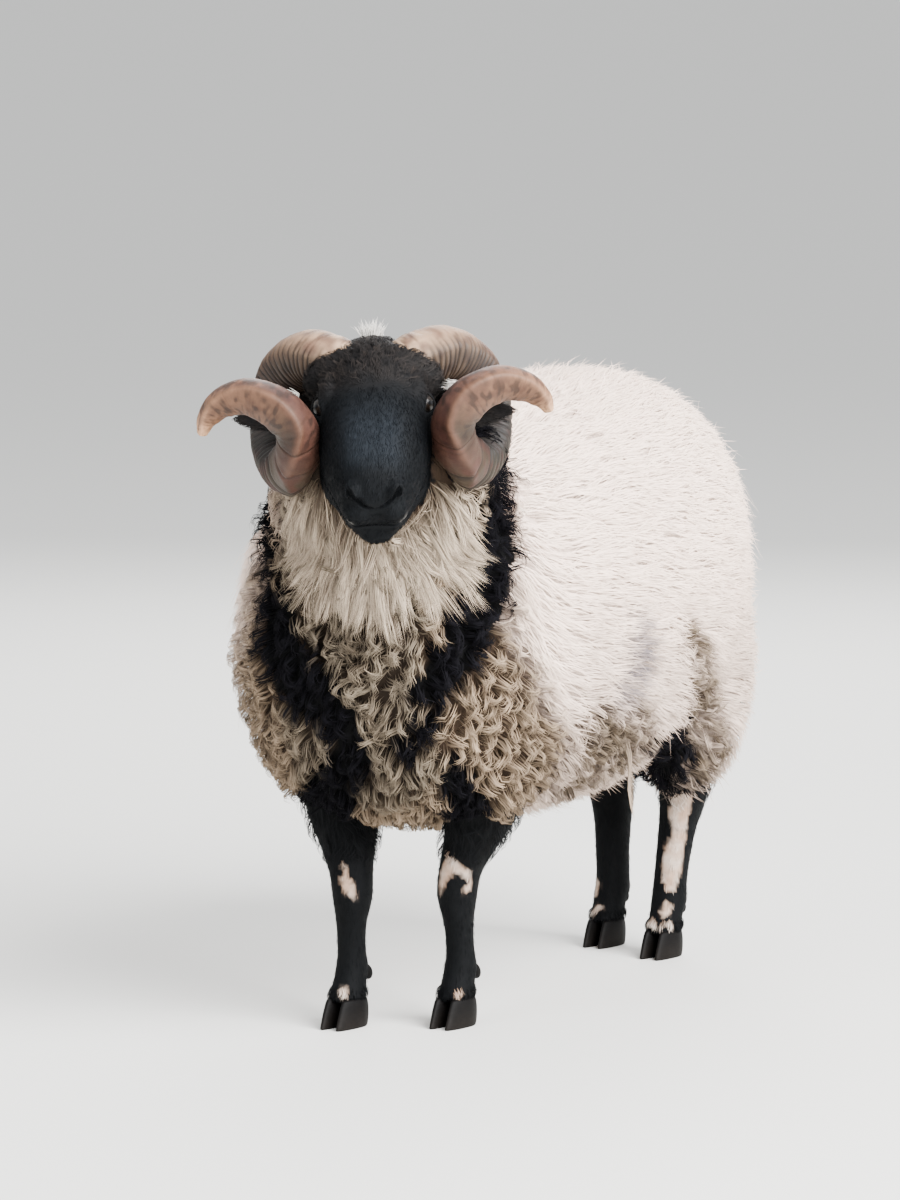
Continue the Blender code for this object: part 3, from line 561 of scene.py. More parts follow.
def build_skin():
    """Makes the skin and returns it with the part that each of its points belongs to."""
    named = [(torso_form(-WOOL_DEPTH), "trunk")]
    for side in (-1, 1):
        named += [(muscle_form(side, *shape, -WOOL_DEPTH), "trunk") for shape in MUSCLES]
    named.append((tube("neck_form", NECK, (0, 0.75, 0.66), 56, 40, -NECK_DEPTH), "neck"))
    named += [(leg_form(which, -HAIR_DEPTH), "leg") for which in LEGS]
    named.append((tube("tail_form", TAIL, (0, 1, 0.2), 30, 60, -TAIL_DEPTH), "tail"))
    named.append((tube("scrotum_form", SCROTUM, (0, 1, 0), 30, 40, -0.003), "scrotum"))
    heads = [head_form(-HAIR_DEPTH), *bulge_forms(-HAIR_DEPTH)]
    heads += [lid_ring(side) for side in (-1, 1)]
    ears = [ear_form(side) for side in (-1, 1)]
    known, owners = [], []
    for obj, part in named + [(obj, "head") for obj in heads] + [(obj, "ear") for obj in ears]:
        points = [v.co.copy() for v in obj.data.vertices]
        known += points
        owners += [PARTS.index(part)] * len(points)
    tree = tree_of(known)
    head = remeshed(heads, HEAD_VOXEL, passes=4)
    for side in (-1, 1):
        boolean(head, nostril_form(side), "DIFFERENCE")
    boolean(head, mouth_form(), "DIFFERENCE")
    for ear in ears:
        boolean(head, ear, "UNION")
    skin = remeshed([obj for obj, _ in named], BODY_VOXEL, passes=5)
    boolean(skin, head, "UNION")
    for side in (-1, 1):
        boolean(skin, ball("socket", eye_centre(side), (EYE_RADIUS + EYE_GAP,) * 3), "DIFFERENCE")
    skin.name = "skin"
    made = bmesh.new()
    made.from_mesh(skin.data)
    bmesh.ops.triangulate(made, faces=made.faces)
    made.to_mesh(skin.data)
    made.free()
    owner = np.array([owners[tree.find(v.co)[1]] for v in skin.data.vertices])
    return skin, owner


# Strands on a square metre of skin
ROOTS = {
    "fleece": 43000, "curls": 75000, "neck_wool": 78000, "ruff": 500000, "tail_wool": 50000,
    "leg_hair": 27000, "leg_wool": 30000, "coronet_hair": 230000,
    "face_hair": 185000, "forehead_wool": 190000, "ear_hair": 190000,
}


class Surface:
    """The skin's points, normals and faces, for setting hair on it."""

    def __init__(self, obj, owner):
        mesh = obj.data
        count = len(mesh.vertices)
        self.points = np.empty(count * 3)
        mesh.vertices.foreach_get("co", self.points)
        self.points = self.points.reshape(-1, 3)
        faces = np.empty(len(mesh.polygons) * 3, int)
        mesh.polygons.foreach_get("vertices", faces)
        self.faces = faces.reshape(-1, 3)
        corners = self.points[self.faces]
        cross = np.cross(corners[:, 1] - corners[:, 0], corners[:, 2] - corners[:, 0])
        self.areas = np.linalg.norm(cross, axis=1) / 2
        normals = np.zeros_like(self.points)
        for k in range(3):
            np.add.at(normals, self.faces[:, k], cross)
        self.normals = unit(normals)
        self.owner = owner
        self.face_owner = owner[self.faces[:, 0]]
        self.tree = tree_of(self.points.tolist())

    def nearest(self, points):
        find = self.tree.find
        return np.array([find(p)[1] for p in points.tolist()], int)

    def scatter(self, name, parts, draw, keep=None):
        """Random roots for the strands of this name, on these parts of the skin."""
        weight = self.areas * np.isin(self.face_owner, [PARTS.index(p) for p in parts])
        count = int(weight.sum() * (ROOTS[name] * DENSITY))
        pick = draw.choice(len(weight), count, p=weight / weight.sum())
        f, g = draw.random((2, count, 1))
        f, g = np.where(f + g > 1, 1 - f, f), np.where(f + g > 1, 1 - g, g)
        a, b, c = (self.points[self.faces[pick, k]] for k in range(3))
        na, nb, nc = (self.normals[self.faces[pick, k]] for k in range(3))
        points = a + (b - a) * f + (c - a) * g
        normals = unit(na + (nb - na) * f + (nc - na) * g)
        if keep is not None:
            held = keep(points, normals)
            points, normals = points[held], normals[held]
        return points, normals

    def follow(self, roots, normals, heading, lengths, steps):
        """Paths that keep to the skin: points, normals and headings, steps + 1 of each."""
        here, normal = roots, normals
        heading = unit(heading - normal * np.sum(heading * normal, axis=1, keepdims=True))
        path, out, head = [here], [normal], [heading]
        for _ in range(steps):
            here = here + heading * (lengths / steps)[:, None]
            index = self.nearest(here)
            near = self.normals[index]
            gap = np.sum((here - self.points[index]) * near, axis=1, keepdims=True)
            here = here - near * gap
            normal = unit(normal + 2 * near)
            heading = unit(heading - normal * np.sum(heading * normal, axis=1, keepdims=True))
            path.append(here)
            out.append(normal)
            head.append(heading)
        return [np.stack(v, axis=1) for v in (path, out, head)]


# Markings. Each band is a chain of x, y, z and radius
BLACK_BANDS = (
    ((-0.060, -0.055, 0.755, 0.040), (-0.108, -0.066, 0.680, 0.044), (-0.118, -0.085, 0.607, 0.036),
     (-0.096, -0.138, 0.562, 0.022), (-0.084, -0.145, 0.530, 0.020), (-0.075, -0.153, 0.507, 0.023),
     (-0.068, -0.161, 0.479, 0.028), (-0.062, -0.160, 0.451, 0.035), (-0.046, -0.172, 0.428, 0.039),
     (-0.030, -0.168, 0.408, 0.038), (-0.008, -0.162, 0.390, 0.031), (0.012, -0.165, 0.374, 0.027),
     (0.019, -0.163, 0.351, 0.022), (0.014, -0.154, 0.323, 0.020), (-0.012, -0.134, 0.296, 0.024),
     (-0.058, -0.080, 0.262, 0.032)),
    ((0.050, -0.040, 0.760, 0.036), (0.116, -0.028, 0.690, 0.030), (0.133, -0.036, 0.655, 0.033),
     (0.137, -0.045, 0.621, 0.034), (0.142, -0.050, 0.597, 0.036), (0.144, -0.054, 0.571, 0.036),
     (0.147, -0.066, 0.543, 0.036), (0.149, -0.088, 0.511, 0.037), (0.152, -0.114, 0.490, 0.033),
     (0.149, -0.127, 0.465, 0.030), (0.141, -0.135, 0.441, 0.028), (0.130, -0.148, 0.424, 0.024),
     (0.113, -0.155, 0.408, 0.020)),
    ((-0.100, -0.040, 0.700, 0.050), (-0.050, -0.060, 0.760, 0.055), (0.030, -0.075, 0.775, 0.055),
     (0.085, -0.050, 0.720, 0.050)),
    ((0.115, -0.142, 0.378, 0.014), (0.104, -0.142, 0.362, 0.015)),
    ((0.084, -0.137, 0.340, 0.013), (0.074, -0.137, 0.328, 0.014)),
    ((0.124, -0.096, 0.314, 0.016), (0.112, -0.070, 0.290, 0.022), (0.100, -0.034, 0.266, 0.034)),
    # Black in the hollow before the left thigh: partly the leg's black wool, partly painted shade
    ((0.178, 0.296, 0.306, 0.012), (0.160, 0.360, 0.304, 0.026), (0.125, 0.415, 0.272, 0.028),
     (0.092, 0.470, 0.240, 0.036)),
    ((-0.075, -0.050, 0.242, 0.034), (-0.080, -0.010, 0.236, 0.040)),
)
BODY_AXIS = np.array([0.02, 0.08, 0.0])
NAPE = (0.045, -0.110, 0.760, 0.110)
# White patches on the black legs
LEG_PATCHES = (
    ((-0.049, -0.057, 0.186, 0.002), (-0.046, -0.060, 0.174, 0.006), (-0.040, -0.058, 0.162, 0.006),
     (-0.034, -0.056, 0.154, 0.002)),
    ((-0.057, -0.058, 0.038, 0.002), (-0.049, -0.062, 0.042, 0.004), (-0.046, -0.062, 0.037, 0.003)),
    ((0.040, 0.003, 0.158, 0.005), (0.047, 0.003, 0.176, 0.008), (0.056, 0.002, 0.190, 0.008),
     (0.068, 0.006, 0.185, 0.005), (0.077, 0.014, 0.178, 0.004), (0.079, 0.020, 0.168, 0.004),
     (0.072, 0.012, 0.158, 0.004)),
    ((0.060, 0.002, 0.058, 0.005), (0.067, 0.005, 0.062, 0.004)),
    ((0.071, 0.003, 0.044, 0.004), (0.069, 0.002, 0.040, 0.004)),
    ((0.084, 0.562, 0.198, 0.012), (0.080, 0.560, 0.180, 0.013), (0.086, 0.562, 0.158, 0.007),
     (0.078, 0.558, 0.136, 0.013), (0.074, 0.554, 0.112, 0.014), (0.074, 0.551, 0.090, 0.008)),
    ((0.071, 0.545, 0.064, 0.006), (0.069, 0.543, 0.058, 0.006)),
    ((0.052, 0.534, 0.044, 0.005), (0.066, 0.530, 0.041, 0.004), (0.078, 0.540, 0.043, 0.005)),
    ((-0.055, 0.595, 0.073, 0.007), (-0.054, 0.590, 0.066, 0.006)),
    ((-0.048, 0.579, 0.046, 0.006), (-0.044, 0.580, 0.048, 0.005)),
)
# Dusty lilac wool low on the flank; and brown wool in front of the thigh and along the edge of the
# belly, partly dust and partly painted shade
LILAC_STREAK = ((0.213, 0.178, 0.455, 0.014), (0.217, 0.182, 0.425, 0.024), (0.207, 0.165, 0.396, 0.024),
                (0.198, 0.145, 0.385, 0.016))
THIGH_STREAK = ((0.222, 0.296, 0.448, 0.010), (0.217, 0.335, 0.400, 0.024), (0.200, 0.380, 0.352, 0.032),
                (0.160, 0.455, 0.305, 0.038), (0.138, 0.500, 0.262, 0.040))
BELLY_STREAK = ((0.189, 0.090, 0.374, 0.018), (0.186, 0.110, 0.345, 0.038), (0.150, 0.165, 0.284, 0.058),
                (0.195, 0.190, 0.338, 0.036), (0.165, 0.255, 0.288, 0.040))
# Where the tan wool ends on the left and right side: heights, and how far back it reaches there
TAN_LEFT = ((0.296, 0.351, 0.404, 0.465, 0.511, 0.560), (0.090, 0.040, -0.012, -0.048, -0.060, -0.056))
TAN_RIGHT = ((0.260, 0.330, 0.420, 0.480, 0.560), (0.080, -0.050, -0.108, -0.138, -0.146))
# Farther than any point lies from a mark
FAR = 9.0


def beyond(points, chain, outward=None):
    """How far points lie outside a chain of balls joined by cones; negative inside.

    With outward given, depth along it counts for little, as a mark goes through the coat.
    """
    chain = np.array(chain)
    best = np.full(len(points), FAR)
    for a, b in zip(chain[:-1], chain[1:]):
        way = b[:3] - a[:3]
        share = np.clip((points - a[:3]) @ way / (way @ way), 0, 1)
        spot = a[:3] + share[:, None] * way
        radius = a[3] + (b[3] - a[3]) * share
        away = points - spot
        if outward is not None:
            away = away - 0.6 * outward * np.sum(away * outward, axis=1, keepdims=True)
        best = np.minimum(best, np.linalg.norm(away, axis=1) - radius)
    return best


def blackness(points):
    """1 where the wool is black: on the neck and chest, and before the left thigh, where it is partly
    painted shade; 0 where it is pale.
    """
    gap = np.full(len(points), FAR)
    outward = unit((points - BODY_AXIS) * [1, 1, 0])
    for chain in BLACK_BANDS:
        gap = np.minimum(gap, beyond(points, chain, outward))
    nape = np.linalg.norm(points - np.array(NAPE[:3]), axis=1) - NAPE[3]
    behind = (points - CROWN) @ FACING < -0.02
    gap = np.where(behind & (points[:, 2] > 0.66), np.minimum(gap, nape), gap)
    rough = 0.010 * wobble(points, 0.030) + 0.006 * wobble(points, 0.011, 1)
    return 1 - ease(gap + rough, -0.003, 0.007)


def tan_share(points):
    """1 where the wool is the tan, curled wool of chest and shoulders."""
    x, y, z = points.T
    edge = np.where(x > 0, np.interp(z, *TAN_LEFT), np.interp(z, *TAN_RIGHT))
    edge = edge + 0.02 * wobble(points, 0.05, 2)
    return 1 - ease(y - edge, -0.040, 0.040)


def dust_and_shade_share(points):
    """1 in the brown wool low on the flanks, before the thighs and along the edge of the belly: partly
    dust, partly painted shade.
    """
    mirrored = np.abs(points * [1, 0, 0]) + points * [0, 1, 1]
    gap = np.minimum(beyond(mirrored, THIGH_STREAK) - 0.004, beyond(mirrored, BELLY_STREAK))
    share = 1 - ease(gap + 0.012 * wobble(points, 0.025, 17), -0.010, 0.014)
    return share * np.where(points[:, 0] > 0, 1.0, 0.75)


def bib_share(points):
    """1 in the darker wool of the middle of the chest, between the two black bands."""
    x, y, _ = points.T
    return ease(x, -0.085, -0.060) * (1 - ease(x, 0.100, 0.135)) * (1 - ease(y, -0.125, -0.085))


def wool_colour(points):
    """Root and tip colour of the wool whose visible part is at these points."""
    _, y, z = points.T
    tan = tan_share(points)
    bib = np.clip(bib_share(points) + 0.35 * wobble(points, 0.03, 14), 0, 1)
    root = mix(CREAM_ROOT, mix(TAN_ROOT, BIB_ROOT, bib), tan)
    tip = mix(CREAM_TIP, mix(TAN_TIP, BIB_TIP, bib), tan)
    # Brown along the edge of the belly and before the thighs: partly dust, partly painted shade
    low = 0.5 * ease(0.36 - z, 0.0, 0.10) * ease(y, 0.05, 0.20) * (0.55 + 0.45 * wobble(points, 0.05, 3))
    dust_and_shade = np.clip(np.maximum(low, dust_and_shade_share(points) * (0.85 + 0.4 * wobble(points, 0.03, 4))), 0, 1)
    root, tip = mix(root, DUST_AND_SHADE_ROOT, dust_and_shade), mix(tip, DUST_AND_SHADE_TIP, dust_and_shade)
    lilac = 1 - ease(beyond(points, LILAC_STREAK), -0.012, 0.024)
    lilac = lilac * np.clip(0.85 + 0.8 * wobble(points * [1, 1, 2.5], 0.022, 5), 0, 1)
    root, tip = mix(root, LILAC, lilac), mix(tip, LILAC, lilac)
    soft = 0.5 + 0.5 * wobble(points, 0.06, 6)
    tip = tip * (0.93 + 0.07 * soft)[:, None]
    # Painted shade: greyer low on the flanks, and a little darker over the rump
    shade = ease(0.57 - z, 0.0, 0.21) * ease(y, -0.04, 0.08)
    shade = shade * (0.75 + 0.35 * wobble(points * [1, 0.5, 1], 0.03, 20))
    root = root * (1 - 0.30 * shade)[:, None]
    tip = tip * (1 - 0.46 * shade)[:, None] * (1 - 0.13 * ease(y, 0.42, 0.60))[:, None]
    black = blackness(points)
    return mix(root, BLACK_ROOT, black), mix(tip, BLACK_TIP, black)


def head_place(points):
    """Across, along and out of points, from the crown."""
    away = points - CROWN
    return away @ ACROSS, away @ ALONG, away @ OUT


NOSTRIL_SPOTS = [on_head(side * across, along, out)
                 for side in (-1, 1) for across, along, out in NOSTRIL_RIM]
MOUTH_CORNERS = [on_head(-0.026, 0.196, -0.066), on_head(0.027, 0.194, -0.064)]


def nearest_of(points, spots):
    """How far points lie from the nearest of the spots."""
    return np.min([np.linalg.norm(points - spot, axis=1) for spot in spots], axis=0)


def hair_colour(points):
    """Root and tip colour of the short hair of head, ears and legs."""
    across, along, out = head_place(points)
    count = len(points)
    on_face = (points[:, 1] < 0.0) & (points[:, 2] > 0.45)
    # Painted sheen: a blue-grey shine down the middle of the nose
    bridge_sheen = ease(along, 0.072, 0.135) * (1 - ease(along, 0.160, 0.185))
    bridge_sheen = bridge_sheen * (1 - ease(np.abs(across), 0.015, 0.045)) * ease(out, -0.030, -0.005) * on_face
    root, tip = mix(HAIR_ROOT, NOSE_SHEEN_BLUE, 0.45 * bridge_sheen), mix(HAIR_TIP, NOSE_SHEEN_BLUE, bridge_sheen)
    brow = (1 - ease(along, 0.045, 0.085)) * (0.55 + 0.45 * wobble(points, 0.012, 7)) * on_face
    tip = mix(tip, HAIR_BROWN, np.clip(0.6 * brow, 0, 1))
    spots = np.full(count, FAR)
    for chain in LEG_PATCHES:
        spots = np.minimum(spots, beyond(points, chain))
    rough = 0.0028 * wobble(points, 0.006, 8) + 0.0030 * wobble(points, 0.018, 16)
    white = 1 - ease(spots + rough, -0.001, 0.0025)
    corner = nearest_of(points, MOUTH_CORNERS)
    grey = (1 - ease(corner + 0.003 * wobble(points, 0.004, 9), 0.003, 0.010)) * 0.22
    # Painted shade in and round the nostrils
    hollow = 1 - ease(nearest_of(points, NOSTRIL_SPOTS), 0.007, 0.0125)
    root, tip = root * (1 - 0.85 * hollow)[:, None], tip * (1 - 0.7 * hollow)[:, None]
    pale = np.clip(0.5 + 1.6 * wobble(points, 0.014, 19), 0, 1) * 0.6
    # Painted shade on the legs: their hair is darkened to about half
    shaded_leg = points[:, 2] < 0.36
    root, tip = root * np.where(shaded_leg, 0.6, 1.0)[:, None], tip * np.where(shaded_leg, 0.55, 1.0)[:, None]
    root, tip = mix(root, PATCH_ROOT, white), mix(tip, mix(PATCH_TIP, WHITE_TIP, pale), white)
    return mix(root, WHITE_TIP, 0.4 * grey), mix(tip, WHITE_TIP, grey)


# Strands
def strand_mesh(name, path, normal, width, thick, root, tip, unwrap, soften=0.6, facing=None):
    """Tapered three-sided strands in one mesh, with their colours and the OFBake map.

    path and normal are (strands, points, 3); the last point of each is its tip. soften turns the
    shading towards facing, or else the skin's own, as in a coat of far finer hairs.
    """
    facing = normal if facing is None else facing
    count, steps = path.shape[0], path.shape[1]
    t = np.linspace(0, 1, steps)[None, :]
    swell = (0.65 + 0.35 * np.sin(math.pi * np.clip(t * 1.4, 0, 1))) * (1 - 0.55 * t**2)
    tangent = unit(np.gradient(path, axis=1))
    side = unit(np.cross(tangent, normal))
    rise = np.cross(side, tangent)
    half = (width[:, None] / 2 * swell)[..., None]
    high = (thick[:, None] * swell)[..., None]
    left = path - side * half
    right = path + side * half
    top = path + rise * high
    rings = np.stack([left, right, top], axis=2)[:, :-1]
    verts = np.concatenate([rings.reshape(count, -1, 3), path[:, -1:]], axis=1)
    each = verts.shape[1]
    faces = [(0, 2, 1)]
    for j in range(steps - 2):
        for k in range(3):
            m = (k + 1) % 3
            a, b, c, d = 3 * j + k, 3 * j + m, 3 * j + 3 + m, 3 * j + 3 + k
            faces += [(a, b, c), (a, c, d)]
    last = 3 * (steps - 2)
    faces += [(last + k, last + (k + 1) % 3, each - 1) for k in range(3)]
    faces = np.array(faces)[:, ::-1]
    share = np.append(np.repeat(t[0, :-1], 3), 1.0)
    # Darker towards the root: painted shade deep in the coat
    colour = root[:, None] + (tip - root)[:, None] * (share**0.8)[None, :, None]
    across = np.append(np.tile([0.0, 1.0, 0.5], steps - 1), 0.5)
    patch = 0.003
    uv = unwrap[:, None] + np.stack([across, share], axis=1)[None] * patch
    whole = (faces[None] + (np.arange(count) * each)[:, None, None]).reshape(-1, 3)
    own = np.stack([-side + rise * 0.3, side + rise * 0.3, rise], axis=2)[:, :-1]
    own = np.concatenate([own.reshape(count, -1, 3), rise[:, -1:]], axis=1)
    under = np.concatenate([np.repeat(facing[:, :-1], 3, axis=1), facing[:, -1:]], axis=1)
    shading = unit((1 - soften) * unit(own) + soften * under)
    return solid_mesh(name, verts.reshape(-1, 3), whole, colour.reshape(-1, 3), uv.reshape(-1, 2),
                      shading.reshape(-1, 3))


def solid_mesh(name, points, triangles, colour, uv=None, shading=None):
    mesh = bpy.data.meshes.new(name)
    mesh.vertices.add(len(points))
    mesh.vertices.foreach_set("co", (points + SHIFT).astype(np.float32).ravel())
    mesh.loops.add(3 * len(triangles))
    mesh.loops.foreach_set("vertex_index", triangles.astype(np.int32).ravel())
    mesh.polygons.add(len(triangles))
    mesh.polygons.foreach_set("loop_start", np.arange(0, 3 * len(triangles), 3, dtype=np.int32))
    mesh.update(calc_edges=True)
    mesh.polygons.foreach_set("use_smooth", np.ones(len(triangles), bool))
    paint(mesh, colour)
    if uv is not None:
        layer = mesh.uv_layers.new(name="OFBake")
        layer.data.foreach_set("uv", uv[triangles.ravel()].astype(np.float32).ravel())
    if shading is not None:
        mesh.normals_split_custom_set_from_vertices(shading.astype(np.float32))
    obj = bpy.data.objects.new(name, mesh)
    bpy.context.scene.collection.objects.link(obj)
    return obj


def paint(mesh, colour):
    layer = mesh.color_attributes.new(name="coat", type="FLOAT_COLOR", domain="POINT")
    rgba = np.ones((len(colour), 4), np.float32)
    rgba[:, :3] = colour
    layer.data.foreach_set("color", rgba.ravel())


def around(points, centre, axis, up):
    """A place on the unwrap of a part: round its axis, and along it."""
    away = points - np.array(centre)
    axis, up = unit(np.array(axis, float)), np.array(up, float)
    side = unit(np.cross(axis, up))
    up = np.cross(side, axis)
    return np.arctan2(away @ side, away @ up) / (2 * math.pi) + 0.5, away @ axis


def chart(u, v, low, high, corner=(0.0, 0.0), size=(1.0, 1.0)):
    """Puts an unwrapped part into its rectangle of the map."""
    margin = 0.996
    v = np.clip((v - low) / (high - low), 0, 1)
    return np.stack([corner[0] + u * size[0] * margin, corner[1] + v * size[1] * margin], axis=1)


def unwrap_body(points):
    u, v = around(points, (0, 0, 0.48), (0, 1, 0), (0, 0, 1))
    return chart(u, v, -0.26, 0.72)


def unwrap_neck(points):
    u, v = around(points, (0.02, -0.06, 0.62), (0.20, -0.72, 0.66), (0, 0.7, 0.7))
    return chart(u, v, -0.16, 0.22)


def unwrap_head(points):
    across, along, out = head_place(points)
    turn = np.arctan2(across, out + 0.06) / (2 * math.pi) + 0.5
    head = chart(turn, along, -0.08, 0.23, (0, 0), (1.0, 0.7))
    sides = []
    for side, left in ((-1, 0.0), (1, 0.5)):
        root, far, front, edge = ear_frame(side)
        away = points - root
        turn = np.arctan2(away @ front - 0.005, away @ edge) / (2 * math.pi) + 0.5
        sides.append(chart(turn, away @ far, -0.02, 0.11, (left, 0.72), (0.48, 0.27)))
    return head, sides


def unwrap_face(points):
    return unwrap_head(points)[0]


def unwrap_legs(points):
    place = np.zeros((len(points), 2))
    nearest = np.full(len(points), FAR)
    for k, (_, top, foot, _) in enumerate(LEGS.values()):
        share = np.clip((0.32 - points[:, 2]) / 0.15, 0, 1)
        x, y = top[0] + (foot[0] - top[0]) * share, top[1] + (foot[1] - top[1]) * share
        away = np.hypot(points[:, 0] - x, points[:, 1] - y)
        u = np.arctan2(points[:, 0] - x, points[:, 1] - y) / (2 * math.pi) + 0.5
        spot = chart(u, points[:, 2], 0.0, 0.40, (0.25 * k, 0.0), (0.245, 1.0))
        place = np.where((away < nearest)[:, None], spot, place)
        nearest = np.minimum(nearest, away)
    return place


# Horns: across, back and up from the crown, and half thickness
HORN = (
    (0.0305, 0.020, -0.030, 0.0280),
    (0.049, 0.030, -0.022, 0.0315),
    (0.075, 0.056, -0.019, 0.0325),
    (0.100, 0.088, -0.038, 0.0315),
    (0.113, 0.100, -0.076, 0.0300),
    (0.114, 0.086, -0.114, 0.0290),
    (0.107, 0.045, -0.136, 0.0280),
    (0.096, 0.000, -0.139, 0.0270),
    (0.087, -0.040, -0.120, 0.0262),
    (0.086, -0.060, -0.088, 0.0255),
    (0.106, -0.064, -0.062, 0.0240),
    (0.138, -0.056, -0.050, 0.0212),
    (0.167, -0.044, -0.058, 0.0175),
    (0.184, -0.032, -0.076, 0.0125),
    (0.191, -0.026, -0.094, 0.0060),
)
HORN_TIP_SHIFT = {-1: (0.0, 0.0), 1: (0.004, 0.014)}
HORN_OPEN = {-1: 0.0, 1: 0.010}


def horn_path(side, count):
    rows = smooth(HORN, count)
    share = np.linspace(0, 1, count)
    shift, wider = HORN_TIP_SHIFT[side], HORN_OPEN[side]
    path = np.array([
        beside_head(
            side * (row[0] + wider * math.sin(math.pi * min(1, f / 0.7)) + shift[0] * f**4),
            row[1],
            row[2] + shift[1] * f**4,
        )
        for row, f in zip(rows, share)
    ])
    return path, rows[:, 3], share


HORN_PATHS = {side: horn_path(side, 90) for side in (-1, 1)}


def clear_of_horns(path, room=0.0015):
    """Pushes points that lie inside a horn out to its surface."""
    flat = path.reshape(-1, 3)
    for centres, radii, _ in HORN_PATHS.values():
        tree = tree_of(centres.tolist())
        low, high = centres.min(axis=0) - 0.04, centres.max(axis=0) + 0.04
        near = np.flatnonzero(np.all((flat > low) & (flat < high), axis=1))
        for i in near:
            _, k, gap = tree.find(flat[i])
            if gap < radii[k] + room:
                flat[i] = centres[k] + unit(flat[i] - centres[k]) * (radii[k] + room)
    return flat.reshape(path.shape)


# A strand's height as a share of its width, and the most triangles of one piece of coat
STRAND_HEIGHT = 0.30
PIECE_TRIANGLES = 190000
# The arc that a domed lock rises and falls through
DOME_ARC = 0.82 * math.pi
# No strand goes lower than this
ABOVE_FLOOR = 0.002


def lock_guides(roots, spacing):
    """The root that leads each lock, and the number of the lock that each root belongs to."""
    cells = np.floor(roots / spacing).astype(int)
    _, guides = np.unique(cells, axis=0, return_index=True)
    tree = tree_of(roots[guides].tolist())
    return guides, np.array([tree.find(p)[1] for p in roots.tolist()], int)


def lock_swing(first, curls, lock_turns, phase, t):
    """How far the middle of a curled lock swings aside and up along its way."""
    angle = 2 * math.pi * lock_turns[:, None] * t[None] + phase[:, None]
    envelope = (curls[:, None] * ease(t, 0.0, 0.4)[None])[..., None]
    side = np.cross(first[2], first[1])
    return (np.cos(angle)[..., None] * side + 0.6 * np.sin(angle)[..., None] * first[1]) * envelope


def coat_pieces(name, roots, path, normals, facing, widths, root, tip, unwrap, soften):
    """The strands as meshes, shared out from front to back so that none is too large."""
    triangles = 6 * (path.shape[1] - 2) + 4
    parts = max(1, math.ceil(len(roots) * triangles / PIECE_TRIANGLES))
    order = np.argsort(roots[:, 1] + 0.05 * roots[:, 2], kind="stable")
    made = []
    for k, index in enumerate(np.array_split(order, parts)):
        label = name if parts == 1 else f"{name}_{k + 1}"
        width = widths[index]
        made.append(strand_mesh(label, path[index], normals[index], width, width * STRAND_HEIGHT,
                                root[index], tip[index], unwrap(roots[index]), soften, facing[index]))
    return made


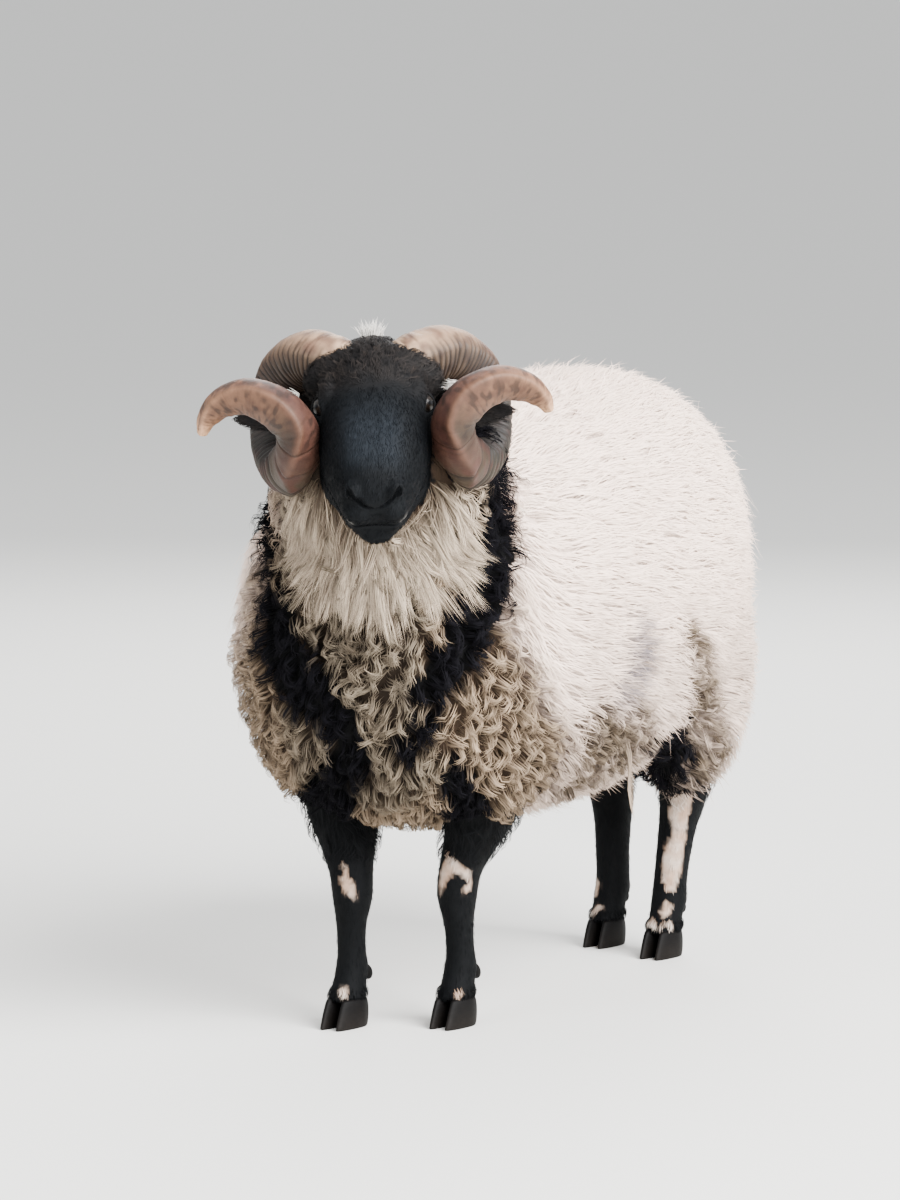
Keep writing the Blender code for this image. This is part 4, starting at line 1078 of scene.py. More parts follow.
def grow(surface, name, roots, normals, lie, unwrap, colours, draw, *, length, width, lift, steps,
         spacing, pull, curl=0.0, turns=0.0, wander=0.2, jitter=0.15, droop=0.0, sink=0.003,
         fray=0.003, dome=0.0, uneven=(0.75, 1.15), mottle=0.11, fleck=None, soften=0.6, blunt=0.0,
         underside_shade=0.0, rounded=0.0, near_horns=False):
    """Strands in locks. Each lock shares a heading, length, height and curl with its guide.

    length, width, lift, curl, droop, sink and fray are in metres, and spacing is from lock to lock.
    pull draws a strand to its lock's middle, and wander and jitter turn locks and strands aside.
    blunt opens the lock's end again, so that it doesn't come to a point. underside_shade paints shade
    on the lower side of each lock and light on its upper side, and rounded shades its strands as parts
    of one rounded form.
    """
    guides, lock = lock_guides(roots, spacing)
    count, many = len(roots), len(guides)
    lock_turn, lock_size = draw.normal(0, wander, many), draw.uniform(0.82, 1.15, many)
    lock_lift, phase = draw.uniform(*uneven, many), draw.uniform(0, 2 * math.pi, many)
    lock_turns = turns * draw.uniform(0.7, 1.3, many) * draw.choice([-1, 1], many)
    lengths = np.broadcast_to(length, count)
    lifts = np.broadcast_to(lift, count)
    curls = np.broadcast_to(curl, count)
    droops = np.broadcast_to(droop, count)

    def profile(t):
        return ((1 - dome) * (1 - (1 - t) ** 2) + dome * np.sin(DOME_ARC * t))[None, :, None]

    # Each lock's guide, in steps half as long
    t = np.linspace(0, 1, 2 * steps + 1)
    heading = turned(lie[guides], normals[guides], lock_turn)
    guide_lengths = lengths[guides] * lock_size
    first = surface.follow(roots[guides], normals[guides], heading, guide_lengths, 2 * steps)
    guide_high = (lifts[guides] * lock_lift)[:, None, None]
    guide_path = first[0] + first[1] * (-sink + (guide_high + sink) * profile(t))
    swing = np.zeros_like(guide_path)
    if turns > 0:
        swing = lock_swing(first, curls[guides], lock_turns, phase, t)
    # The strands themselves, drawn towards their guide
    heading = turned(lie, normals, lock_turn[lock] + draw.normal(0, jitter, count))
    sizes = lengths * lock_size[lock] * draw.uniform(0.85, 1.12, count)
    own = surface.follow(roots, normals, heading, sizes, steps)
    t = np.linspace(0, 1, steps + 1)
    own_high = (lifts * lock_lift[lock] * draw.uniform(0.8, 1.1, count))[:, None, None]
    own_path = own[0] + own[1] * (-sink + (own_high + sink) * profile(t))
    close = ease(t, 0.1, 1.0 - 0.5 * blunt) * (1 - 0.45 * blunt * ease(t, 0.6, 1.0))
    held = (np.broadcast_to(pull, count)[:, None] * close[None])[..., None]
    centre = guide_path[lock][:, ::2]
    offset = (own_path - centre) * (1 - held)
    path = centre + offset + swing[lock][:, ::2]
    # The way their shading faces: out of the lock, as if it were one rounded form
    tilt = -dome * np.cos(DOME_ARC * t)[None, :, None]
    facing = own[1] * (1.1 - 0.3 * rounded) + offset * (rounded / (0.30 * spacing))
    facing = unit(facing + own[2] * tilt * rounded * 0.8)
    path[:, -1] += own[1][:, -1] * draw.uniform(-fray * 0.5, fray, (count, 1))
    path[:, :, 2] -= droops[:, None] * t[None] ** 2
    if near_horns:
        path = clear_of_horns(path)
    path[:, :, 2] = np.maximum(path[:, :, 2], ABOVE_FLOOR)
    # Colours, a little different from lock to lock and strand to strand
    lock_shade = draw.uniform(1 - 0.7 * mottle, 1 + 0.6 * mottle, many)
    lock_fleck = draw.random(many)
    # Painted light and shade: strands high in a lock lighter and low ones darker, as if lit from above
    height = underside_shade * (roots - roots[guides][lock]) @ UP / spacing
    root, tip = colours(path[:, (2 * steps) // 3])
    if fleck is not None:
        colour, chance, strength = fleck
        tip = mix(tip, colour, (lock_fleck[lock] < chance) * draw.uniform(0.3, 1.0, count) * strength)
    shade = draw.uniform(1 - mottle, 1 + 0.9 * mottle, count) * lock_shade[lock]
    shade = shade * np.clip(1 + height, 0.3, 1.6)
    root, tip = np.clip(root * shade[:, None], 0, 1), np.clip(tip * shade[:, None], 0, 1)
    widths = np.broadcast_to(width, count) * draw.uniform(0.8, 1.25, count)
    return coat_pieces(name, roots, path, own[1], facing, widths, root, tip, unwrap, soften)


# Materials
def node(tree, kind, settings=None, links=None):
    """Adds a node with its settings, and links from other nodes' sockets."""
    made = tree.nodes.new(kind)
    for key, value in (settings or {}).items():
        if key.startswith("."):
            setattr(made, key[1:], value)
        else:
            made.inputs[key].default_value = value
    for key, source in (links or {}).items():
        tree.links.new(source, made.inputs[key])
    return made


def material(name, roughness, specular):
    made = bpy.data.materials.new(name)
    made.use_nodes = True
    shader = made.node_tree.nodes["Principled BSDF"]
    shader.inputs["Roughness"].default_value = roughness
    shader.inputs["Specular IOR Level"].default_value = specular
    return made, made.node_tree, shader


def coat_colour(tree, shader, fine, amount):
    """The surface's own colour, with small darker and paler places fine metres across."""
    own = node(tree, "ShaderNodeAttribute", {".attribute_name": "coat"})
    place = node(tree, "ShaderNodeTexCoord")
    speck = node(tree, "ShaderNodeTexNoise", {"Scale": 1.0 / fine, "Detail": 3.0, "Roughness": 0.6},
                 {"Vector": place.outputs["Object"]})
    limits = {"From Min": 0.3, "From Max": 0.7, "To Min": 1 - amount, "To Max": 1 + amount}
    span = node(tree, "ShaderNodeMapRange", limits, {"Value": speck.outputs["Fac"]})
    tinted = node(tree, "ShaderNodeVectorMath", {".operation": "SCALE"},
                  {0: own.outputs["Color"], "Scale": span.outputs["Result"]})
    tree.links.new(tinted.outputs["Vector"], shader.inputs["Base Color"])
    return place


def grain(tree, shader, place, per_metre, detail, strength, depth):
    """Fine bumps: depth metres high, and so many to the metre along x, y and z."""
    spread = node(tree, "ShaderNodeMapping", {"Scale": per_metre}, {"Vector": place.outputs["Object"]})
    fine = node(tree, "ShaderNodeTexNoise", {"Scale": 1.0, "Detail": detail},
                {"Vector": spread.outputs["Vector"]})
    bump = node(tree, "ShaderNodeBump", {"Strength": strength, "Distance": depth},
                {"Height": fine.outputs["Fac"]})
    tree.links.new(bump.outputs["Normal"], shader.inputs["Normal"])
    return fine


def wool_material():
    """Fine grown wool fibre: dull all over, and a little uneven in tone."""
    made, tree, shader = material("grown_wool_fibre", 0.95, specular=0.06)
    coat_colour(tree, shader, 0.012, 0.06)
    return made


def hair_material():
    """Short coarse hair: black, with the faint shine of smooth hair shafts."""
    made, tree, shader = material("short_coarse_hair", 0.62, specular=0.07)
    coat_colour(tree, shader, 0.008, 0.12)
    return made


def skin_material():
    """Hide under short hair, which raises it in small streaks."""
    made, tree, shader = material("hide_with_short_hair", 0.70, specular=0.07)
    place = coat_colour(tree, shader, 0.006, 0.15)
    # Streaks 1.1 mm across and 3.8 mm long: far coarser than real hairs, which wouldn't show
    grain(tree, shader, place, (900.0, 900.0, 260.0), 2.0, 0.55, 0.0008)
    return made


def horn_material():
    """Grown horn: layered keratin, with satin and dull places."""
    made, tree, shader = material("grown_horn_keratin", 0.5, specular=0.28)
    place = coat_colour(tree, shader, 0.010, 0.16)
    # Pits and scratches 1.4 mm across
    fine = grain(tree, shader, place, (700.0, 700.0, 700.0), 4.0, 0.35, 0.0006)
    rough = node(tree, "ShaderNodeMapRange", {"To Min": 0.45, "To Max": 0.75},
                 {"Value": fine.outputs["Fac"]})
    tree.links.new(rough.outputs["Result"], shader.inputs["Roughness"])
    return made


def claw_material():
    """Hoof horn: dark and worn, with fine level growth lines."""
    made, tree, shader = material("hoof_horn", 0.6, specular=0.09)
    place = coat_colour(tree, shader, 0.006, 0.25)
    # Growth lines 1.1 mm apart
    grain(tree, shader, place, (60.0, 60.0, 900.0), 2.0, 0.5, 0.0006)
    return made


def eye_material():
    """A wet eye: coloured iris under a clear smooth cornea."""
    made, tree, shader = material("wet_eye", 0.3, specular=0.25)
    shader.inputs["Coat Weight"].default_value = 0.12
    shader.inputs["Coat Roughness"].default_value = 0.08
    own = node(tree, "ShaderNodeAttribute", {".attribute_name": "coat"})
    tree.links.new(own.outputs["Color"], shader.inputs["Base Color"])
    return made


def dress(obj, look, slot, *replaced):
    """Gives a finished piece its material and its place on the body, and hides the nodes that it stands
    for.
    """
    obj.data.materials.clear()
    obj.data.materials.append(look)
    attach(obj, "root")
    if replaced:
        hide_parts(*replaced)


def triangles_of(obj):
    mesh = obj.data
    mesh.calc_loop_triangles()
    corners = np.empty(len(mesh.loop_triangles) * 3, int)
    mesh.loop_triangles.foreach_get("vertices", corners)
    points = np.empty(len(mesh.vertices) * 3)
    mesh.vertices.foreach_get("co", points)
    return points.reshape(-1, 3), corners.reshape(-1, 3)


# Along the horn, from 0 at its foot to 1 at its tip: colours of its ridges, of the painted shade in its
# furrows, and of its keel
HORN_AGES = (0.0, 0.10, 0.20, 0.28, 0.36, 0.48, 0.54, 0.60, 0.70, 0.86, 1.0)
HORN_SHADES = ("#9C8168", "#8C7059", "#6C523F", "#383029", "#2C2721", "#2A2419",
               "#33261A", "#4E3127", "#5C3A2E", "#926549", "#B48C6A")
FURROW_AGES = (0.0, 0.15, 0.30, 0.50, 0.62, 1.0)
FURROW_SHADES = ("#34200F", "#20150D", "#070605", "#0A0806", "#261509", "#4E2E20")
KEEL_AGES = (0.0, 0.58, 0.70, 0.80, 1.0)
KEEL_SHADES = ("#5E4030", "#664632", "#74523C", "#9A7258", "#BE9272")
HORN_OUTER, HORN_OLIVE, HORN_MAUVE = linear("#7C5842"), linear("#332A1C"), linear("#3E2019")
HORN_SPOT, HORN_STAIN, HORN_SHADED = linear("#331C14"), linear("#22120A"), linear("#15110F")
# Along the horn too: metres of width and depth of the furrows and of roughness, and shares of the rest
FURROW_WIDTH = ((0, 0.25, 0.32, 0.54, 0.6, 1), (0.0011, 0.0014, 0.0026, 0.0026, 0.0010, 0.0008))
FURROW_DEPTH = ((0, 0.12, 0.3, 0.52, 0.60, 0.8, 1),
                (0.0009, 0.0016, 0.0030, 0.0026, 0.0002, 0.0001, 0.0001))
FURROW_SHADOW = ((0, 0.5, 0.58, 1), (0.9, 0.95, 0.40, 0.25))
HORN_ROUGHNESS = ((0, 0.3, 0.6, 1), (0.0013, 0.0010, 0.0007, 0.0005))
HORN_THINNING = ((0, 0.48, 0.60, 1), (1.0, 1.0, 0.88, 0.95))
KEEL_SHARE = ((0, 0.2, 0.48, 0.62, 1), (0.25, 0.45, 0.40, 1.0, 0.8))
# How far apart the furrows are, as far as each share of the horn
FURROW_GAPS = ((0.26, 0.0066), (0.54, 0.0105), (1.0, 0.030))
FIRST_FURROW = 0.004
# The one deep crack across the horn: where, how wide and how deep
CRACK, CRACK_WIDTH, CRACK_DEPTH = 0.605, 0.0009, 0.0012
HORN_LEAST = 0.0008


def along_horn(share, ages, codes):
    shades = np.array([linear(code) for code in codes])
    return np.stack([np.interp(share, ages, shades[:, k]) for k in range(3)], axis=1)


def horn_noise(share, turn, tight, seed):
    rounds = [(math.cos(a) * 1.8, math.sin(a) * 1.8) for a in turn]
    return np.array([[noise.noise(Vector((f * tight + seed, *at))) for at in rounds] for f in share])


def horn_furrows(side, share, along):
    """How deep into a furrow, and into the crack, the surface is along the horn, from 0 to 1."""
    draw = np.random.default_rng(SEED + side)
    starts, at = [], FIRST_FURROW
    while at < along[-1]:
        starts.append(at)
        apart = next(apart for end, apart in FURROW_GAPS if at / along[-1] < end)
        at += apart * draw.uniform(0.75, 1.3)
    gap = np.min(np.abs(along[:, None] - np.array(starts)[None]), axis=1)
    furrow = np.exp(-((gap / np.interp(share, *FURROW_WIDTH)) ** 2))
    crack = np.exp(-(((share - CRACK) * along[-1] / CRACK_WIDTH) ** 2))
    return furrow, crack


def horn_reach(radii, share, turn, furrow, crack, ringed):
    """How far the surface stands from the horn's middle line: a rounded triangle with a keel."""
    sharp = 6.0
    thirds = (math.pi / 3, math.pi, 5 * math.pi / 3)
    flats = sum(np.maximum(0.0, np.cos(turn - k)) ** sharp for k in thirds)
    keel = 0.42 + 0.48 * flats ** (-1 / sharp)
    keel = 1 + (keel - 1) * np.interp(share, *KEEL_SHARE)[:, None]
    bumps = horn_noise(share, turn, 26, 0) + 0.5 * horn_noise(share, turn, 90, 3)
    radii = radii * np.interp(share, *HORN_THINNING)
    depth = np.interp(share, *FURROW_DEPTH)
    rough = np.interp(share, *HORN_ROUGHNESS)[:, None]
    reach = radii[:, None] * keel - (depth * furrow)[:, None] * ringed
    return np.maximum(reach - (CRACK_DEPTH * crack)[:, None] + rough * bumps, HORN_LEAST)


def horn_colour(side, share, turn, furrow, crack, ringed):
    """Painted shade on the side that faces into the curl and in the furrows and the crack; olive and
    brown outside, palest at keel and tip.
    """
    colour = along_horn(share, HORN_AGES, HORN_SHADES)[:, None].repeat(len(turn), axis=1)
    front = ease(share, 0.54, 0.64)[:, None]
    before_tip = (1 - ease(share, 0.86, 1.0))[:, None]
    lateral = ease(np.sin(turn) * side, 0.05, 0.30)[None]
    olive = (1 - ease(share, 0.62, 0.74))[:, None]
    outer_face = mix(HORN_OUTER, HORN_OLIVE, olive)
    colour = mix(colour, outer_face, 0.9 * front * lateral * before_tip)
    mauve = ease(horn_noise(share, turn, 34, 5), -0.05, 0.45) * (1 - 0.5 * front * lateral)
    colour = mix(colour, HORN_MAUVE, 0.66 * mauve)
    spots = ease(horn_noise(share, turn, 110, 9), 0.15, 0.55) * (1 - 0.5 * front)
    colour = mix(colour, HORN_SPOT, 0.55 * spots)
    stain = ease(horn_noise(share, turn, 85, 12), 0.02, 0.40) * front
    colour = mix(colour, HORN_STAIN, 0.65 * stain * before_tip)
    ridge = np.exp(-((np.minimum(turn, 2 * math.pi - turn) / 0.20) ** 2))[None]
    colour = mix(colour, along_horn(share, KEEL_AGES, KEEL_SHADES)[:, None], 0.60 * ridge * front)
    colour = colour * (1 - 0.48 * front * before_tip)[..., None]
    # Painted shade in the furrows and the crack
    groove_shade = furrow[:, None] * ringed * np.interp(share, *FURROW_SHADOW)[:, None]
    groove_shade = np.maximum(groove_shade, crack[:, None] * 0.8)
    colour = mix(colour, along_horn(share, FURROW_AGES, FURROW_SHADES)[:, None], groove_shade)
    shaded = ease(-np.cos(turn), -0.2, 0.8)[None] * (1 - ease(share, 0.5, 0.65))[:, None] * 0.80
    return mix(colour, HORN_SHADED, shaded)


def horn_piece(side, name):
    """One full turn with a keel in front, ringed by furrows that are deep behind and fade to the tip."""
    count, sides = 640, 48
    path, radii, share = horn_path(side, count)
    turn = np.linspace(0, 2 * math.pi, sides, endpoint=False)
    tangents = unit(np.gradient(path, axis=0))
    outward = path - path.mean(axis=0)
    ahead = unit(FACING + 0.35 * HEAD_UP)
    outward = mix(unit(outward), ahead, ease(share, 0.44, 0.58))
    outward = unit(outward - tangents * np.sum(outward * tangents, axis=1, keepdims=True))
    over = np.cross(tangents, outward)
    steps = np.linalg.norm(np.diff(path, axis=0), axis=1)
    furrow, crack = horn_furrows(side, share, np.concatenate([[0], np.cumsum(steps)]))
    ringed = 0.03 + 0.97 * ease(0.5 - 0.5 * np.cos(turn), 0.42, 0.88)
    ringed = 1 + (ringed - 1) * (1 - ease(share, 0.22, 0.32))[:, None]
    reach = horn_reach(radii, share, turn, furrow, crack, ringed)
    rings = path[:, None] + outward[:, None] * (reach * np.cos(turn))[..., None]
    rings = rings + over[:, None] * (reach * np.sin(turn))[..., None]
    obj = shell(name, rings)
    points, triangles = triangles_of(obj)
    bpy.data.objects.remove(obj)
    colour = horn_colour(side, share, turn, furrow, crack, ringed)
    colour = np.vstack([colour.reshape(-1, 3), colour[0].mean(axis=0), colour[-1].mean(axis=0)])
    return solid_mesh(name, points, triangles, np.clip(colour, 0, 1))


# The iris and the slot of the pupil, as shares of the eye's radius
IRIS_RADIUS, PUPIL_LENGTH, PUPIL_HEIGHT = 0.74, 0.46, 0.17


def eye_piece(side, name):
    """A dark brown eye with a level, slot-shaped pupil."""
    centre, facing = eye_centre(side), eye_facing(side)
    obj = ball(name, centre, (EYE_RADIUS,) * 3, (ALONG, OUT, ACROSS), 64, 48)
    points, triangles = triangles_of(obj)
    bpy.data.objects.remove(obj)
    away = unit(points - centre)
    level = unit(np.cross(facing, UP))
    x, y = away @ level, away @ np.cross(level, facing)
    front = away @ facing > 0
    far = np.hypot(x, y)
    iris = ease(IRIS_RADIUS - far, 0.0, 0.05) * front
    slot = np.abs(x / PUPIL_LENGTH) ** 4 + np.abs(y / PUPIL_HEIGHT) ** 4
    pupil = ease(1 - slot, 0.0, 0.4) * front
    rings = (0.7 + 0.3 * np.cos(far * 14))[:, None]
    colour = mix(EYE_BALL, EYE_IRIS * rings, iris)
    colour = mix(colour, EYE_PUPIL, pupil)
    return solid_mesh(name, points, triangles, colour)


# One claw, from the ground up: height, reach of the toe, reach of the heel, share of its half width
CLAW = (
    (0.0, 0.0405, 0.0215, 0.95),
    (0.0020, 0.0415, 0.0230, 1.01),
    (0.010, 0.038, 0.025, 1.04),
    (0.021, 0.033, 0.026, 1.0),
    (0.029, 0.0285, 0.0245, 0.93),
    (0.0325, 0.0255, 0.0220, 0.82),
    (HOOF_HEIGHT, 0.0215, 0.0180, 0.66),
)
CLAW_HALF_WIDTH = 0.0125
# The small claws: how far aside, back and up from the foot, and their radii; they lean back
DEWCLAW_AT = (0.011, 0.0235, 0.060)
DEWCLAW_RADII = (0.0056, 0.0068, 0.0105)
DEWCLAW_AXES = ((1, 0, 0), (0, 0.83, 0.56), (0, -0.56, 0.83))


def claw_rings(foot, hand):
    turn = np.linspace(0, 2 * math.pi, 40, endpoint=False)
    c, s = np.cos(turn), np.sin(turn)
    rings = []
    for height, toe, heel, wide in smooth(CLAW, 30):
        bulge = CLAW_HALF_WIDTH * wide * np.where(c > 0, 1.0, 0.72)
        x = foot[0] + hand * (0.0100 + c * bulge * (1.0 - 0.30 * np.maximum(0.0, -s)))
        y = foot[1] - 0.006 + np.where(s > 0, s * heel, s * toe)
        rings.append(np.stack([x, y, np.full(40, height)], axis=1))
    return np.array(rings)


def claws_piece(which):
    """Both halves of a cloven hoof and the two small claws behind it."""
    foot = LEGS[which][2]
    points, triangles, start = [], [], 0
    for hand in (-1, 1):
        aside, back, up = DEWCLAW_AT
        middle = (foot[0] + hand * aside, foot[1] + back, up)
        small = ball("small", middle, DEWCLAW_RADII, DEWCLAW_AXES, 24, 16)
        for obj in (shell("claw", claw_rings(foot, hand)), small):
            own, faces = triangles_of(obj)
            points.append(own)
            triangles.append(faces + start)
            start += len(own)
            bpy.data.objects.remove(obj)
    points = np.vstack(points)
    shade = ease(points[:, 2], 0.0, 0.03)
    colour = mix(CLAW_SOLE, CLAW_WALL, shade)
    return solid_mesh("claws_" + which, points, np.vstack(triangles), colour)


# The coat, part by part: how the locks of each part grow, where that is the same all over it
LOCKS = {
    "fleece": dict(width=0.0018, steps=2, spacing=0.020, wander=0.16, jitter=0.20, fray=0.004,
                   uneven=(0.93, 1.05), mottle=0.04, soften=0.88, rounded=0.25),
    "fleece_strays": dict(length=0.055, width=0.0011, lift=0.0255, steps=2, spacing=0.010, pull=0.1,
                          wander=0.30, jitter=0.35, droop=0.003, fray=0.006, mottle=0.04),
    "curls": dict(width=0.0012, lift=0.0220, steps=4, spacing=0.0155, curl=0.0042, turns=0.8,
                  wander=0.60, jitter=0.24, dome=0.90, fray=0.003, near_horns=True,
                  uneven=(0.60, 1.1), blunt=1.0, mottle=0.12, soften=0.88, underside_shade=0.40, rounded=1.0),
    "neck_wool": dict(length=0.028, width=0.0013, lift=0.0190, steps=4, spacing=0.0150, curl=0.0035,
                      turns=0.7, wander=0.50, jitter=0.32, dome=0.80, fray=0.004, near_horns=True,
                      uneven=(0.7, 1.1), blunt=0.9, mottle=0.12, soften=0.75, underside_shade=0.30, rounded=1.0),
    "ruff": dict(width=0.0009, lift=0.0215, steps=4, spacing=0.0100, curl=0.0030, turns=0.7,
                 wander=0.17, jitter=0.10, droop=0.006, fray=0.004, near_horns=True, mottle=0.20,
                 soften=0.6, rounded=0.8),
    "tail_wool": dict(length=0.046, width=0.0019, lift=0.008, steps=3, spacing=0.016, pull=0.65,
                      curl=0.003, turns=0.8, wander=0.20, droop=0.004, fray=0.002),
    "leg_hair": dict(width=0.0008, steps=2, spacing=0.008, pull=0.30, wander=0.10, jitter=0.20,
                     sink=0.0006, fray=0.0008, soften=0.6, mottle=0.12),
    "leg_wool": dict(width=0.0013, steps=3, spacing=0.013, pull=0.50, curl=0.0030, turns=0.8,
                     wander=0.35, jitter=0.20, sink=0.0006, fray=0.002, dome=0.3, underside_shade=0.3),
    "coronet_hair": dict(length=0.0110, width=0.0010, lift=0.0036, steps=2, spacing=0.006, pull=0.3,
                         wander=0.15, jitter=0.25, sink=0.0006, fray=0.0010, soften=0.6),
    "face_hair": dict(width=0.0008, lift=0.0016, steps=2, spacing=0.007, pull=0.30, wander=0.20,
                      jitter=0.22, sink=0.0005, fray=0.0008, mottle=0.24, uneven=(0.7, 1.2), soften=0.4),
    "forehead_wool": dict(length=0.014, width=0.0007, lift=0.0042, steps=3, spacing=0.0065,
                          pull=0.50, curl=0.0016, turns=0.9, wander=0.45, jitter=0.25, sink=0.0006,
                          dome=0.5, fray=0.0012, blunt=0.6, soften=0.7, fleck=(HAIR_BROWN, 0.22, 0.8)),
    "ear_hair": dict(length=0.0105, width=0.0009, lift=0.0014, steps=2, spacing=0.008, pull=0.4,
                     wander=0.15, jitter=0.2, sink=0.0005, fray=0.0008),
}


def trunk_lie(points, normals):
    """The way the coat lies: down chest and rump, back and down the flanks, back along the belly."""
    x, y, z = points.T
    count = len(points)
    down = 0.07 + 0.50 * ease(0.40 - z, 0.0, 0.16)
    flank = np.stack([np.zeros(count), np.ones(count), -down], axis=1)
    chest = np.stack([1.25 * x, np.full(count, -0.15), -np.ones(count)], axis=1)
    rump, belly = np.array([0.0, 0.25, -1.0]), np.array([0.0, 1.0, -0.1])
    lie = mix(chest, flank, ease(y, -0.12, 0.06))
    lie = mix(lie, rump, ease(y, 0.52, 0.66))
    return unit(mix(lie, belly, ease(-normals[:, 2], 0.35, 0.85)))


def build_coat(surface, wool, hair):
    draw = np.random.default_rng(SEED)
    made = []

    def curled(points, normals, lie):
        seen = points + normals * WOOL_DEPTH + lie * 0.02
        return np.maximum(np.maximum(tan_share(seen), blackness(seen)), dust_and_shade_share(seen)) > 0.5

    # Flanks, back and rump: long, fine and nearly straight
    points, normals = surface.scatter("fleece", ("trunk",), draw)
    lie = trunk_lie(points, normals)
    away = ~curled(points, normals, lie)
    points, normals, lie = points[away], normals[away], lie[away]
    under = ease(-normals[:, 2], 0.35, 0.85)
    low = ease(0.42 - points[:, 2], 0.0, 0.14) * (1 - under)
    ripple = 0.0024 * wobble(points * [1, 0.22, 1], 0.011, 18)
    made += grow(surface, "fleece", points, normals, lie, unwrap_body, wool_colour, draw,
                 **LOCKS["fleece"], length=(0.040 + 0.014 * low) * (1 - 0.40 * under),
                 lift=0.0190 + ripple, pull=0.26 + 0.2 * low, droop=0.003 + 0.005 * low)
    # Single long fibres that stand a little above the rest
    some = draw.random(len(points)) < 0.09
    made += grow(surface, "fleece_strays", points[some], normals[some], lie[some], unwrap_body,
                 wool_colour, draw, **LOCKS["fleece_strays"])
    # Chest and shoulders: curled locks
    points, normals = surface.scatter("curls", ("trunk",), draw)
    lie = trunk_lie(points, normals)
    here = curled(points, normals, lie)
    points, normals, lie = points[here], normals[here], lie[here]
    under = ease(-normals[:, 2], 0.35, 0.85)
    made += grow(surface, "curls", points, normals, lie, unwrap_body, wool_colour, draw,
                 **LOCKS["curls"], length=(0.025 - 0.004 * under) * draw.uniform(0.7, 1.2, len(points)),
                 pull=draw.uniform(0.38, 0.78, len(points)))
    # Neck, under and beside the ruff
    points, normals = surface.scatter("neck_wool", ("neck",), draw, lambda p, n: ~under_ruff(p, n))
    lie = one_way([0.0, 0.30, -0.95], points)
    made += grow(surface, "neck_wool", points, normals, lie, unwrap_neck, neck_colour, draw,
                 **LOCKS["neck_wool"], pull=draw.uniform(0.2, 0.65, len(points)))
    made += build_ruff(surface, draw)
    # Tail
    points, normals = surface.scatter("tail_wool", ("tail",), draw)
    lie = one_way([0.0, 0.15, -1.0], points)
    made += grow(surface, "tail_wool", points, normals, lie, unwrap_body, wool_colour, draw,
                 **LOCKS["tail_wool"])
    for piece in made:
        dress(piece, wool, "cream_wool")
    short = build_face_hair(surface, draw)
    # Legs and scrotum
    points, normals = surface.scatter("leg_hair", ("leg", "scrotum"), draw)
    lie = one_way([0.0, 0.12, -1.0], points)
    coronet = 1 - ease(points[:, 2], 0.036, 0.060)
    short += grow(surface, "leg_hair", points, normals, lie, unwrap_legs, hair_colour, draw,
                  **LOCKS["leg_hair"], length=0.0095 + 0.0065 * coronet, lift=0.0012 + 0.0030 * coronet)
    # Wool that hangs from the chest and haunch over the tops of the legs
    points, normals = surface.scatter("leg_wool", ("leg",), draw, lambda p, n: p[:, 2] > 0.195)
    high = ease(points[:, 2], 0.195, 0.240)
    lie = unit(np.array([0.0, 0.12, -1.0]) + normals * 0.1)
    short += grow(surface, "leg_wool", points, normals, lie, unwrap_legs, hair_colour, draw,
                  **LOCKS["leg_wool"], length=0.014 + 0.014 * high, lift=0.003 + 0.005 * high)
    # Hair that lies over the tops of the claws
    points, normals = surface.scatter("coronet_hair", ("leg",), draw,
                                      lambda p, n: (p[:, 2] < 0.048) & (n[:, 2] > -0.6))
    lie = unit(normals * 0.5 - UP)
    short += grow(surface, "coronet_hair", points, normals, lie, unwrap_legs, hair_colour, draw,
                  **LOCKS["coronet_hair"])
    for piece in short:
        dress(piece, hair, "black_hair")


def neck_colour(points):
    """The neck's wool: cream below the jaw, darker lower down, black at the sides and nape."""
    root, tip = wool_colour(points)
    front = ease((points - CROWN) @ FACING, -0.10, -0.05) * ease(points[:, 2], 0.535, 0.575)
    front = front * (1 - blackness(points))
    dark = ease(0.5 + 0.5 * wobble(points, 0.012, 12), 0.62, 0.85) * 0.5
    root, tip = mix(root, RUFF_ROOT, front), mix(tip, mix(RUFF_TIP, RUFF_ROOT, dark), front)
    above = ease(points[:, 2] + 0.012 * wobble(points, 0.025, 15), 0.640, 0.652)
    return mix(root, BLACK_ROOT, above), mix(tip, BLACK_TIP, above)


def ruff_colour(points):
    dark = ease(0.5 + 0.5 * wobble(points * [1, 1, 0.20], 0.008, 13), 0.48, 0.72)
    tip = mix(RUFF_TIP, TAN_ROOT, 0.72 * dark)
    root = mix(RUFF_ROOT, TAN_ROOT, 0.7 * dark)
    black = blackness(points)
    return mix(root, BLACK_ROOT, black), mix(tip, BLACK_TIP, black)


def under_ruff(points, normals):
    """True just below the jaw, where the ruff alone covers the neck."""
    across = (points - CROWN) @ ACROSS
    return (normals @ FACING > 0.25) & (points[:, 2] > 0.605) & (np.abs(across) < 0.080)


def build_ruff(surface, draw):
    """The ruff: long flat locks in rows that hang from the jaw down over the chest."""
    def keep(points, normals):
        across = (points - CROWN) @ ACROSS
        level = points[:, 2]
        inside = (level > 0.558 + 5.0 * across**2) & (level < 0.655)
        inside &= blackness(points + normals * NECK_DEPTH) < 0.5
        return inside & (normals @ FACING > 0.10) & (across > -0.084) & (across < 0.076)

    points, normals = surface.scatter("ruff", ("neck", "trunk"), draw, keep)
    share = ((points - CROWN) @ ACROSS) / 0.100
    lie = unit(ACROSS * 1.05 * share[:, None] - HEAD_UP + FACING * 0.15)
    middle = 1 - 0.45 * share**2
    return grow(surface, "ruff", points, normals, lie, unwrap_neck, ruff_colour, draw,
                **LOCKS["ruff"], length=0.096 * middle * draw.uniform(0.6, 1.15, len(points)),
                pull=draw.uniform(0.35, 0.9, len(points)))


BARE_ROUND_EYE = 0.0155
BARE_ROUND_NOSTRIL = 0.0105


